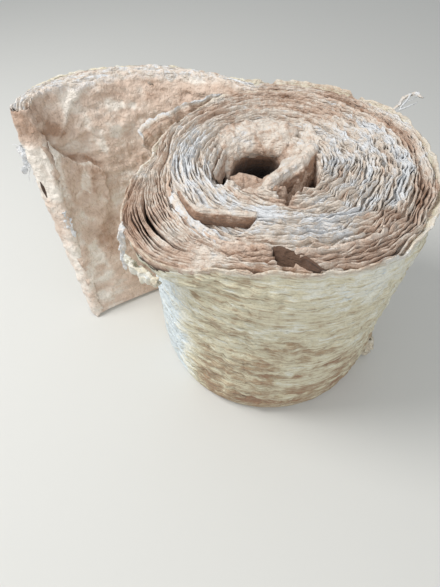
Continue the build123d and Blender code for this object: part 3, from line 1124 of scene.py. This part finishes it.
def joinedRibbons(name, ribbons):
    allPoints, allFaces, start = [], [], 0
    for points, _ in ribbons:
        columns, around = points.shape[:2]
        allFaces.append(tubeFaces(columns, around, start))
        allPoints.append(points.reshape(-1, 3))
        start += columns * around
    values = {key: np.concatenate([ribbon[1][key].ravel() for ribbon in ribbons]) for key in ribbons[0][1]}
    piece = makeObject(name, np.concatenate(allPoints), np.concatenate(allFaces), values)
    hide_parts("blanket_roll")


def endLayers():
    path = blanketPath(blanket["innerAngle"], blanket["columnStep"])
    step = layers["inPiece"]
    for first in range(0, layers["count"], step):
        ribbons = [layerRibbon(path, number) for number in range(first, first + step)]
        joinedRibbons("end_layers_" + str(first // step + 1), ribbons)
    fan = [layerRibbon(path, number, layers["fanRun"]) for number in layers["fan"]]
    joinedRibbons("fanned_rim_layers", fan)


endLayers()
report("layers of the upper end")


# Loose folds and torn sheets, each drawn through a few lines of points

def lengthAlong(line):  # how far each point of a line is from its start
    return np.concatenate([[0], np.cumsum(np.linalg.norm(np.diff(line, axis=0), axis=1))])


def smoothLine(points, count):  # a smooth line through the points, evenly divided
    points = np.array(points, dtype=float)
    reach = lengthAlong(points)
    at = np.linspace(0, reach[-1], count)
    part = np.clip(np.searchsorted(reach, at, side="right") - 1, 0, len(points) - 2)
    t = ((at - reach[part]) / (reach[part + 1] - reach[part]))[:, None]
    ends = np.concatenate([2 * points[:1] - points[1:2], points, 2 * points[-1:] - points[-2:-1]])
    a, b, c, d = (ends[part + k] for k in range(4))
    return b + 0.5 * t * (c - a + t * (2 * a - 5 * b + 4 * c - d + t * (3 * b - a - 3 * c + d)))


sheetDefaults = {
    "mottle": 0.5,        # how uneven the stain is
    # painted shade in the creases between the lumps
    "creaseShade": 0.3,
    "backLump": 1.0,      # how much of the lumps the back follows
    "looseFace": 0.0,
    "endFace": 1.0,
    "ragSize": 0.013,
    "edgeShare": 0.08,    # how thick the edges are, as a share of the thickness
    "edgePower": 8,       # how late the thickness falls towards the edges
    "uneven": 0.3,        # how much the thickness varies, and how much finer than the lumps
    "unevenFiner": 1.7,
    "mottleFiner": 1.3,
    "creaseFrom": (0.2, 1.2),
}


def even(level):
    return lambda u, v, grid: level + 0 * u


def woolSheet(name, rails, facts):
    # a closed sheet lofted across rails. facts: its thickness, the lumps' depth and size, how ragged its
    # edges are, columns, rows and seed, and its stain and painted shade, where u runs along and v across the
    # rails
    facts = {**sheetDefaults, "gap": even(0.0), **facts}
    columns, rows, seed = facts["columns"], facts["rows"], facts["seed"]
    lines = np.stack([smoothLine(rail, columns) for rail in rails], axis=1)
    grid = np.stack([smoothLine(line, rows) for line in lines])
    u, v = np.meshgrid(np.linspace(-1, 1, columns), np.linspace(-1, 1, rows), indexing="ij")
    flat = 0 * u
    farAlong = lengthAlong(grid[:, rows // 2])[:, None] + flat
    farUp = lengthAlong(grid[columns // 2])[None, :] + flat
    along, up = (unit(np.gradient(grid, axis=axis)) for axis in (0, 1))
    normal = unit(np.cross(along, up))
    rag = facts["ragged"] * cloudy(*np.moveaxis(grid, -1, 0) / facts["ragSize"], seed, 3)
    grid = grid + up * (rag * v ** 4 * np.sign(v))[..., None] + along * (rag * u ** 4 * np.sign(u))[..., None]
    x, y, z = np.moveaxis(grid, -1, 0) / facts["lumpSize"]
    push = facts["lump"] * creased(x, y, z, seed + 7)
    power = facts["edgePower"]
    full = np.sqrt(np.clip((1 - u ** power) * (1 - v ** power), 0, 1))
    full = full * (1 - facts["edgeShare"]) + facts["edgeShare"]
    finer = facts["unevenFiner"]
    varied = 1 + facts["uneven"] * noise(x * finer, y * finer, z * finer, seed + 3)
    half = facts["thickness"] / 2 * full * varied
    front = grid + normal * (push + half)[..., None]
    back = grid + normal * (push * facts["backLump"] - half)[..., None]
    points = np.concatenate([front, back[:, ::-1]], axis=1)
    finer = facts["mottleFiner"]
    mottled = cloudy(x * finer, y * finer, z * finer, seed + 5, 3)
    stain = facts["stain"](u, v, grid) + facts["mottle"] * mottled
    # painted shade in the creases, added to the sheet's own
    inCrease = ramp(-push / facts["lump"], *facts["creaseFrom"])
    gap = facts["gap"](u, v, grid) + facts["creaseShade"] * inCrease
    values = {"along": farAlong, "up": farUp, "across": flat, "stain": stain,
              "looseFace": flat + facts["looseFace"], "endFace": flat + facts["endFace"], "gap": gap}
    values = {key: np.concatenate([value, value[:, ::-1]], axis=1) for key, value in values.items()}
    piece = makeObject(name, points.reshape(-1, 3), tubeFaces(columns, rows * 2), values)
    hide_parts("blanket_roll")


def onRim(angle, radius, height):
    return (radius * np.cos(np.radians(angle)), radius * np.sin(np.radians(angle)), height)


def innerEndStainAndLight(u, v, grid):  # brown towards the pocket, partly stain and partly painted shade, and on its way to the right; a faint painted highlight on its ridge
    past = grid[..., 1] - between(grid[..., 0], pocket["ridge"])
    stain = 0.1 + 2.2 * ramp(-past, 0.002, 0.007) + 1.2 * ramp(u, -0.1, 0.4) * ramp(past, 0.004, 0.012)
    return stain - 0.2 * (1 - ramp(np.abs(past), 0.001, 0.004))


def collapsedMiddle():
    woolSheet("crumpled_far_fold", [
        [(-0.140, 0.075, 0.560), (-0.104, 0.122, 0.566), (-0.050, 0.140, 0.568), (0.010, 0.132, 0.568),
         (0.050, 0.106, 0.566)],
        [(-0.128, 0.060, 0.552), (-0.092, 0.092, 0.561), (-0.045, 0.102, 0.566), (0.002, 0.098, 0.566),
         (0.034, 0.086, 0.564)],
        [(-0.108, 0.048, 0.528), (-0.085, 0.066, 0.536), (-0.045, 0.077, 0.540), (-0.012, 0.075, 0.540),
         (0.014, 0.064, 0.542)],
        [(-0.110, 0.062, 0.508), (-0.085, 0.088, 0.514), (-0.045, 0.098, 0.515), (-0.010, 0.094, 0.518),
         (0.018, 0.080, 0.528)],
    ], {"thickness": 0.018, "lump": 0.0070, "lumpSize": 0.027, "ragged": 0.006, "columns": 150, "rows": 84,
        "seed": 101, "mottle": 0.8, "backLump": 0.4, "creaseShade": 0.7,
        "stain": lambda u, v, grid: 0.2 + 0.7 * ramp(v, 0.0, 0.5)
        + 1.4 * span(u, -0.62, -0.22, 0.12) * (1 - ramp(v, -0.75, -0.35))})
    woolSheet("inner_end", [
        [(0.030, 0.070, 0.505), (0.022, 0.040, 0.490), (0.004, 0.010, 0.488), (-0.014, -0.012, 0.490),
         (-0.044, -0.044, 0.505), (-0.066, -0.070, 0.520)],
        [(0.022, 0.080, 0.538), (0.010, 0.052, 0.522), (-0.010, 0.022, 0.518), (-0.028, -0.004, 0.520),
         (-0.052, -0.042, 0.532), (-0.068, -0.072, 0.537)],
        [(0.042, 0.096, 0.557), (0.036, 0.048, 0.553), (0.014, 0.008, 0.549), (-0.006, -0.018, 0.548),
         (-0.040, -0.056, 0.549), (-0.064, -0.078, 0.546)],
        [(0.064, 0.112, 0.569), (0.074, 0.056, 0.568), (0.040, -0.002, 0.567), (0.010, -0.026, 0.565),
         (-0.030, -0.064, 0.561), (-0.060, -0.083, 0.552)],
        [(0.072, 0.098, 0.545), (0.077, 0.042, 0.532), (0.048, -0.016, 0.522), (0.018, -0.040, 0.520),
         (-0.024, -0.076, 0.524), (-0.055, -0.092, 0.535)],
        [(0.074, 0.088, 0.500), (0.078, 0.030, 0.482), (0.054, -0.028, 0.478), (0.024, -0.052, 0.478),
         (-0.018, -0.084, 0.490), (-0.050, -0.098, 0.512)],
    ], {"thickness": 0.009, "lump": 0.0042, "lumpSize": 0.030, "ragged": 0.003, "columns": 110, "rows": 84,
        "seed": 111, "mottle": 0.45, "stain": innerEndStainAndLight})
    # painted shade on the ledge low in the hole, over its brown
    woolSheet("ledge_in_the_hole", [
        [(-0.102, 0.010, 0.508), (-0.068, 0.016, 0.510), (-0.032, 0.006, 0.502)],
        [(-0.102, -0.012, 0.527), (-0.068, -0.010, 0.526), (-0.032, -0.016, 0.519)],
        [(-0.100, -0.040, 0.515), (-0.066, -0.042, 0.512), (-0.032, -0.046, 0.508)],
    ], {"thickness": 0.016, "lump": 0.0045, "lumpSize": 0.030, "ragged": 0.006, "columns": 54, "rows": 34,
        "seed": 121, "creaseShade": 0.0, "gap": even(0.55), "stain": even(0.9)})
    woolSheet("pale_wisp_in_the_hole", [
        [(-0.110, -0.024, 0.518), (-0.104, -0.050, 0.538), (-0.099, -0.078, 0.560)],
        [(-0.098, -0.024, 0.512), (-0.094, -0.050, 0.533), (-0.090, -0.078, 0.556)],
    ], {"thickness": 0.005, "lump": 0.0030, "lumpSize": 0.012, "ragged": 0.004, "columns": 30, "rows": 14,
        "seed": 122, "stain": even(-1.9)})
    for number, (out, rise) in enumerate([(0.0, 0.0), (0.011, -0.006), (0.024, -0.016)]):
        woolSheet("leaning_layer_" + str(number + 1), [
            [(-0.124 + out, 0.092, 0.570 + rise), (-0.145 + out, 0.044, 0.571 + rise),
             (-0.161 + out, -0.018, 0.565 + rise)],
            [(-0.113 + out, 0.084, 0.535 + rise), (-0.131 + out, 0.040, 0.530 + rise),
             (-0.147 + out, -0.018, 0.528 + rise)],
        ], {"thickness": 0.0045, "lump": 0.0024, "lumpSize": 0.024, "ragged": 0.005, "columns": 60,
            "rows": 20, "seed": 123 + number, "creaseShade": 0.1,
            "stain": lambda u, v, grid: 1.6 * ramp(v, -0.8, 0.0)})


def rimFeatures():
    turns = np.linspace(206, 249, 14)
    fall = ramp(turns, 204, 230)
    edge = slipEdge(turns)
    # painted shade towards the face's lower edge, over its brown stain
    woolSheet("torn_brown_face", [
        [onRim(a, r - 0.004, 0.571) for a, r in zip(turns, edge)],
        [onRim(a, r + 0.002, 0.568) for a, r in zip(turns, edge)],
        [onRim(a, r + 0.004, 0.566 - 0.012 * f) for a, r, f in zip(turns, edge, fall)],
        [onRim(a, r + 0.002, 0.562 - 0.027 * f) for a, r, f in zip(turns, edge, fall)],
    ], {"thickness": 0.006, "lump": 0.0016, "lumpSize": 0.022, "ragged": 0.002, "columns": 84, "rows": 26,
        "seed": 131, "mottle": 0.4, "gap": lambda u, v, grid: 0.7 * ramp(v, -0.3, 0.6),
        "stain": lambda u, v, grid: 0.1 + 2.1 * ramp(v, -0.62, -0.40)})
    turns = np.linspace(196, 238, 10)
    ends = [0.012, 0.002, 0.0, 0.0, 0.0, 0.0, 0.0, 0.002, 0.006, 0.014]
    woolSheet("white_band", [
        [onRim(a, 0.2215, 0.538 - e) for a, e in zip(turns, ends)],
        [onRim(a, 0.2245, 0.547 - e) for a, e in zip(turns, ends)],
        [onRim(a, 0.2300, 0.544 - e) for a, e in zip(turns, ends)],
        [onRim(a, 0.2360, 0.538 - e) for a, e in zip(turns, ends)],
    ], {"thickness": 0.003, "lump": 0.0010, "lumpSize": 0.020, "ragged": 0.005, "columns": 110, "rows": 26,
        "seed": 141, "mottle": 0.8, "creaseShade": 0.4, "stain": even(-0.6)})
    # painted shade in the torn hollow, over its brown
    woolSheet("torn_rim_hollow", [
        [(x, y + 0.001, 0.566) for x, y in bite["far"]],
        [(-0.037, -0.246, 0.548), (-0.010, -0.259, 0.546), (0.012, -0.267, 0.548), (0.035, -0.280, 0.556)],
        [(-0.034, -0.258, 0.530), (-0.012, -0.275, 0.526), (0.012, -0.277, 0.528), (0.033, -0.280, 0.540)],
    ], {"thickness": 0.005, "lump": 0.0012, "lumpSize": 0.026, "ragged": 0.001, "columns": 50, "rows": 30,
        "seed": 151, "mottle": 0.25, "creaseShade": 0.0, "gap": even(0.90), "stain": even(2.2)})
    woolSheet("peeled_back_layer", [
        [(-0.120, 0.262, 0.566), (-0.185, 0.226, 0.570), (-0.242, 0.188, 0.566), (-0.286, 0.160, 0.560),
         (-0.304, 0.138, 0.550), (-0.296, 0.124, 0.542)],
        [(-0.125, 0.250, 0.535), (-0.188, 0.212, 0.532), (-0.240, 0.166, 0.528), (-0.274, 0.134, 0.524),
         (-0.288, 0.112, 0.518), (-0.286, 0.104, 0.514)],
        [(-0.130, 0.236, 0.500), (-0.188, 0.193, 0.495), (-0.234, 0.140, 0.490), (-0.260, 0.098, 0.490),
         (-0.270, 0.078, 0.490), (-0.272, 0.070, 0.488)],
    ], {"thickness": 0.008, "lump": 0.0050, "lumpSize": 0.034, "ragged": 0.006, "columns": 90, "rows": 32,
        "seed": 161, "mottle": 0.6, "creaseShade": 0.1,
        "stain": lambda u, v, grid: 1.3 - 2.1 * (1 - ramp(v, -0.95, -0.6))})
    woolSheet("loose_skin_flap", [
        [(-0.309, -0.134, 0.530), (-0.3176, -0.142, 0.505), (-0.323, -0.141, 0.470), (-0.329, -0.139, 0.430),
         (-0.328, -0.138, 0.396)],
        [(-0.302, -0.148, 0.528), (-0.304, -0.146, 0.505), (-0.309, -0.145, 0.470), (-0.316, -0.142, 0.430),
         (-0.321, -0.139, 0.392)],
    ], {"thickness": 0.003, "lump": 0.0030, "lumpSize": 0.016, "ragged": 0.003, "columns": 70, "rows": 16,
        "seed": 171, "mottle": 0.6, "creaseShade": 0.2, "stain": even(-0.8)})
    woolSheet("lumps_under_the_collar", [
        [(-0.306, -0.158, 0.470), (-0.290, -0.184, 0.474), (-0.268, -0.206, 0.472), (-0.240, -0.226, 0.474)],
        [(-0.310, -0.160, 0.450), (-0.294, -0.186, 0.454), (-0.270, -0.210, 0.456), (-0.242, -0.230, 0.460)],
        [(-0.296, -0.152, 0.436), (-0.280, -0.176, 0.440), (-0.258, -0.198, 0.442), (-0.234, -0.216, 0.446)],
    ], {"thickness": 0.010, "lump": 0.0050, "lumpSize": 0.020, "ragged": 0.007, "columns": 70, "rows": 30,
        "seed": 172, "mottle": 0.8, "creaseShade": 0.4, "endFace": 0.4, "stain": even(-0.4)})


# The loose end's torn end and the inner layer that has split off it

loosePath = blanketPath(blanket["peelAngle"] - 1.0, 0.004)


def onLoose(run, height, across, past=0.0):  # across is -1 on the inner face and 1 on the outer one
    column = min(np.searchsorted(loosePath["run"], run), len(loosePath["run"]) - 1)
    path = {line: loosePath[line][[column]] for line in ("top", "base")}
    half = blanket["thickness"] / 2 * (1 - wrap["looseNarrowing"] * ramp(height, *wrap["narrowing"]))
    level = np.array([[height]])
    x, y = onBlanket(path, np.array([[across * half]]), level)[0, 0, :2]
    nextX, nextY = onBlanket(path, np.array([[across * half + 1]]), level)[0, 0, :2]
    return (x - past * (nextY - y), y + past * (nextX - x), height)


def tornEndStain(u, v, grid):
    height = grid[..., 2]
    stain = 1.4 * ramp(height, 0.49, 0.52) - 2.2 * span(height, 0.36, 0.49, 0.012)
    return stain - 0.4 * span(height, 0.27, 0.35, 0.02) - 2.0 * (1 - ramp(height, 0.22, 0.28))


def slitShade(u, v, grid):  # painted shade of a narrow split in the loose end's edge
    return 1.5 * (1 - ramp(np.hypot(u / 0.09, (grid[..., 2] - 0.385) / 0.024), 0.7, 1.1))


def splitLayerStain(u, v, grid):  # brown, and white at its end, along its upper edge and in one patch
    x, _, height = np.moveaxis(grid, -1, 0)
    patch = 1 - ramp(np.hypot((x + 0.480) / 0.014, (height - 0.365) / 0.038), 0.6, 1.2)
    return 0.9 - 2.9 * ramp(-x, 0.512, 0.530) - 1.6 * (1 - ramp(v, -0.95, -0.80)) - 2.6 * patch


def looseEndTears():
    end = loosePath["run"][-1]
    heights = [0.562, 0.52, 0.48, 0.44, 0.40, 0.36, 0.31, 0.24, 0.16, 0.08, 0.006]
    woolSheet("torn_end", [
        [onLoose(end - 0.016, h, -1.10), onLoose(end, h, -0.95, 0.004), onLoose(end, h, 0.0, 0.010),
         onLoose(end, h, 0.95, 0.004), onLoose(end - 0.022, h, 1.12)] for h in heights
    ], {"thickness": 0.006, "lump": 0.0030, "lumpSize": 0.038, "ragged": 0.007, "columns": 44, "rows": 170,
        "seed": 201, "mottle": 0.35, "creaseShade": 0.1, "looseFace": 1.0, "endFace": 0.0,
        "stain": tornEndStain, "gap": slitShade})
    woolSheet("split_inner_layer", [
        [onLoose(r, h, -1.40) for r, h in ((0.672, 0.492), (0.645, 0.467), (0.623, 0.441), (0.589, 0.415),
                                           (0.559, 0.405), (0.536, 0.384))],
        [onLoose(r, h, -1.50) for r, h in ((0.672, 0.462), (0.645, 0.444), (0.623, 0.418), (0.592, 0.392),
                                           (0.562, 0.380), (0.539, 0.362))],
        [onLoose(r, h, -1.22) for r, h in ((0.672, 0.420), (0.646, 0.400), (0.622, 0.375), (0.596, 0.350),
                                           (0.570, 0.336), (0.545, 0.322))],
        [onLoose(r, h, -0.85) for r, h in ((0.672, 0.360), (0.648, 0.340), (0.628, 0.320), (0.604, 0.296),
                                           (0.582, 0.280), (0.558, 0.272))],
    ], {"thickness": 0.005, "lump": 0.0034, "lumpSize": 0.028, "ragged": 0.006, "columns": 100, "rows": 80,
        "seed": 206, "mottle": 0.9, "looseFace": 1.0, "endFace": 0.0,
        "stain": splitLayerStain})
    woolSheet("white_tuft", [
        [(-0.578, 0.172, 0.490), (-0.596, 0.172, 0.486), (-0.616, 0.174, 0.482)],
        [(-0.580, 0.166, 0.468), (-0.598, 0.166, 0.462), (-0.612, 0.168, 0.458)],
        [(-0.578, 0.158, 0.436), (-0.600, 0.156, 0.428), (-0.614, 0.158, 0.426)],
    ], {"thickness": 0.003, "lump": 0.0045, "lumpSize": 0.015, "ragged": 0.016, "columns": 40, "rows": 40,
        "seed": 205, "creaseShade": 0.0, "stain": even(-1.3)})
    woolSheet("tuft_at_the_end", [
        [(-0.556, 0.118, 0.336), (-0.550, 0.112, 0.306), (-0.540, 0.104, 0.282)],
        [(-0.540, 0.112, 0.332), (-0.534, 0.104, 0.300), (-0.524, 0.094, 0.262)],
        [(-0.526, 0.112, 0.334), (-0.522, 0.104, 0.300), (-0.514, 0.092, 0.270)],
    ], {"thickness": 0.004, "lump": 0.0050, "lumpSize": 0.014, "ragged": 0.012, "columns": 40, "rows": 30,
        "seed": 204, "creaseShade": 0.0, "stain": even(-1.2)})
    woolSheet("tuft_at_the_base", [
        [(0.272, -0.132, 0.085), (0.289, -0.118, 0.075), (0.284, -0.096, 0.080)],
        [(0.275, -0.137, 0.045), (0.302, -0.118, 0.040), (0.288, -0.096, 0.045)],
        [(0.273, -0.132, 0.010), (0.296, -0.120, 0.008), (0.286, -0.101, 0.010)],
    ], {"thickness": 0.008, "lump": 0.0060, "lumpSize": 0.013, "ragged": 0.004, "columns": 36, "rows": 36,
        "seed": 208, "creaseShade": 0.1, "endFace": 0.5, "stain": even(0.2)})


def strayFibres(name, fibres, radius, seed):
    # thin tapering fibres, each from a point towards another, with a bend of its own
    sides, steps = 4, 9
    slant = (0.31, 0.22, 0.92)  # lies along none of the fibres
    t = np.linspace(0, 1, steps)
    turn = np.arange(sides) * 2 * np.pi / sides
    thickest, taper = 1.05, 0.85
    width = radius * (thickest - taper * t ** 2)[:, None, None]
    allPoints, allFaces = [], []
    for number, (start, end, bow) in enumerate(fibres):
        start, end = np.array(start), np.array(end)
        middle = start + (end - start) * t[:, None]
        for axis in range(3):
            middle[:, axis] += bow * np.sin(np.pi * t) * noise(number * 1.7, axis * 3.3, 0.0, seed)
            middle[:, axis] += 0.3 * bow * cloudy(t * 4, number * 2.3, axis * 5.1, seed + 1, 2) * t
        along = unit(np.gradient(middle, axis=0))
        side = unit(np.cross(along, slant))
        other = np.cross(along, side)
        ring = side[:, None] * np.cos(turn)[None, :, None] + other[:, None] * np.sin(turn)[None, :, None]
        allFaces.append(tubeFaces(steps, sides, number * steps * sides))
        allPoints.append((middle[:, None] + width * ring).reshape(-1, 3))
    points = np.concatenate(allPoints)
    flat = np.zeros(len(points))
    values = {"along": flat, "up": flat, "across": flat, "stain": flat - 1.6, "looseFace": flat,
              "endFace": flat + 1, "gap": flat}
    piece = makeObject(name, points, np.concatenate(allFaces), values)
    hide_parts("blanket_roll")


def looseStrands():
    strand = [(0.2272, 0.1984, 0.562), (0.2728, 0.1984, 0.566), (0.3032, 0.2333, 0.572),
              (0.3186, 0.2265, 0.585), (0.3320, 0.1994, 0.589)]
    below = [(x - 0.001, y + 0.007, z - 0.006) for x, y, z in strand]
    woolSheet("strand_at_the_right", [strand, below], {
        "thickness": 0.006, "lump": 0.0022, "lumpSize": 0.014, "ragged": 0.003, "columns": 90, "rows": 10,
        "seed": 209, "creaseShade": 0.0, "stain": even(-0.7)})
    # each fibre's start, its end, and how far it bends
    strayFibres("fibres_of_the_strand", [
        ((0.236, 0.172, 0.560), (0.286, 0.196, 0.564), 0.004),
        ((0.236, 0.176, 0.558), (0.284, 0.200, 0.566), 0.004),
        ((0.284, 0.194, 0.565), (0.330, 0.236, 0.572), 0.012),
        ((0.284, 0.198, 0.565), (0.318, 0.244, 0.580), 0.014),
        ((0.280, 0.190, 0.564), (0.331, 0.222, 0.566), 0.008),
    ], 0.0022, 301)
    strayFibres("fibres_of_the_veil", [
        ((-0.590, 0.160, 0.452), (-0.620, 0.158, 0.432), 0.010),
        ((-0.592, 0.164, 0.458), (-0.617, 0.160, 0.420), 0.014),
        ((-0.588, 0.168, 0.476), (-0.622, 0.172, 0.490), 0.008),
        ((-0.588, 0.158, 0.446), (-0.606, 0.150, 0.404), 0.016),
        ((-0.580, 0.150, 0.420), (-0.596, 0.146, 0.396), 0.008),
        ((-0.560, 0.134, 0.370), (-0.576, 0.128, 0.358), 0.006),
    ], 0.0011, 302)


collapsedMiddle()
rimFeatures()
looseEndTears()
looseStrands()
report("folds and torn sheets")


# Floor, light and camera

studio = {
    "camera": (-0.125, -0.695, 1.05),
    "pitch": 37.0,                 # in degrees, up from straight down
    "focalPixels": 407.0,
    "frameHeight": 587.0,
    "sensor": 36.0,
    "floorSize": 14,
    "floorGap": 0.001,
    "floorFinish": {"Base Color": paint(212, 212, 209), "Roughness": 0.93, "Specular IOR Level": 0.18},
    "sky": (0.95, 0.98, 1.0, 1),
    "skyStrength": 0.50,
    # each lamp's place, size, power and colour, and the point that they face
    "lamps": {"key": ((-1.9, 0.1, 2.7), 1.3, 68, (1.0, 0.985, 0.96)),
              "fill": ((0.2, -2.5, 2.2), 2.0, 26, (1.0, 0.98, 0.95))},
    "aim": (0, 0, 0.35),
}


def studioFloor():
    bpy.ops.object.select_all(action="DESELECT")
    bpy.ops.mesh.primitive_plane_add(size=studio["floorSize"], location=(0, 0, -studio["floorGap"]))
    floor = bpy.context.object
    floor.name = "floor"
    floor.data.materials.append(newMaterial("floor", studio["floorFinish"])[0])


def areaLight(name, place, size, power, colour):
    lamp = bpy.data.lights.new(name, "AREA")
    lamp.shape = "DISK"
    lamp.size = size
    lamp.energy = power
    lamp.color = colour
    holder = bpy.data.objects.new(name, lamp)
    holder.location = place
    holder.rotation_euler = (Vector(studio["aim"]) - Vector(place)).to_track_quat("-Z", "Y").to_euler()
    bpy.context.collection.objects.link(holder)


def studioLight():
    world = bpy.data.worlds.new("studio")
    world.use_nodes = True
    sky = world.node_tree.nodes["Background"]
    sky.inputs["Color"].default_value = studio["sky"]
    sky.inputs["Strength"].default_value = studio["skyStrength"]
    bpy.context.scene.world = world
    for name, facts in studio["lamps"].items():
        areaLight(name, *facts)


def studioCamera():
    camera = bpy.data.cameras.new("camera")
    camera.sensor_width = studio["sensor"]
    camera.lens = studio["focalPixels"] / studio["frameHeight"] * studio["sensor"]
    holder = bpy.data.objects.new("camera", camera)
    holder.location = studio["camera"]
    holder.rotation_euler = (np.radians(studio["pitch"]), 0, 0)
    bpy.context.collection.objects.link(holder)
    bpy.context.scene.camera = holder


studioFloor()
studioLight()
studioCamera()
bpy.context.scene.view_settings.view_transform = "Standard"
report("floor, light and camera")
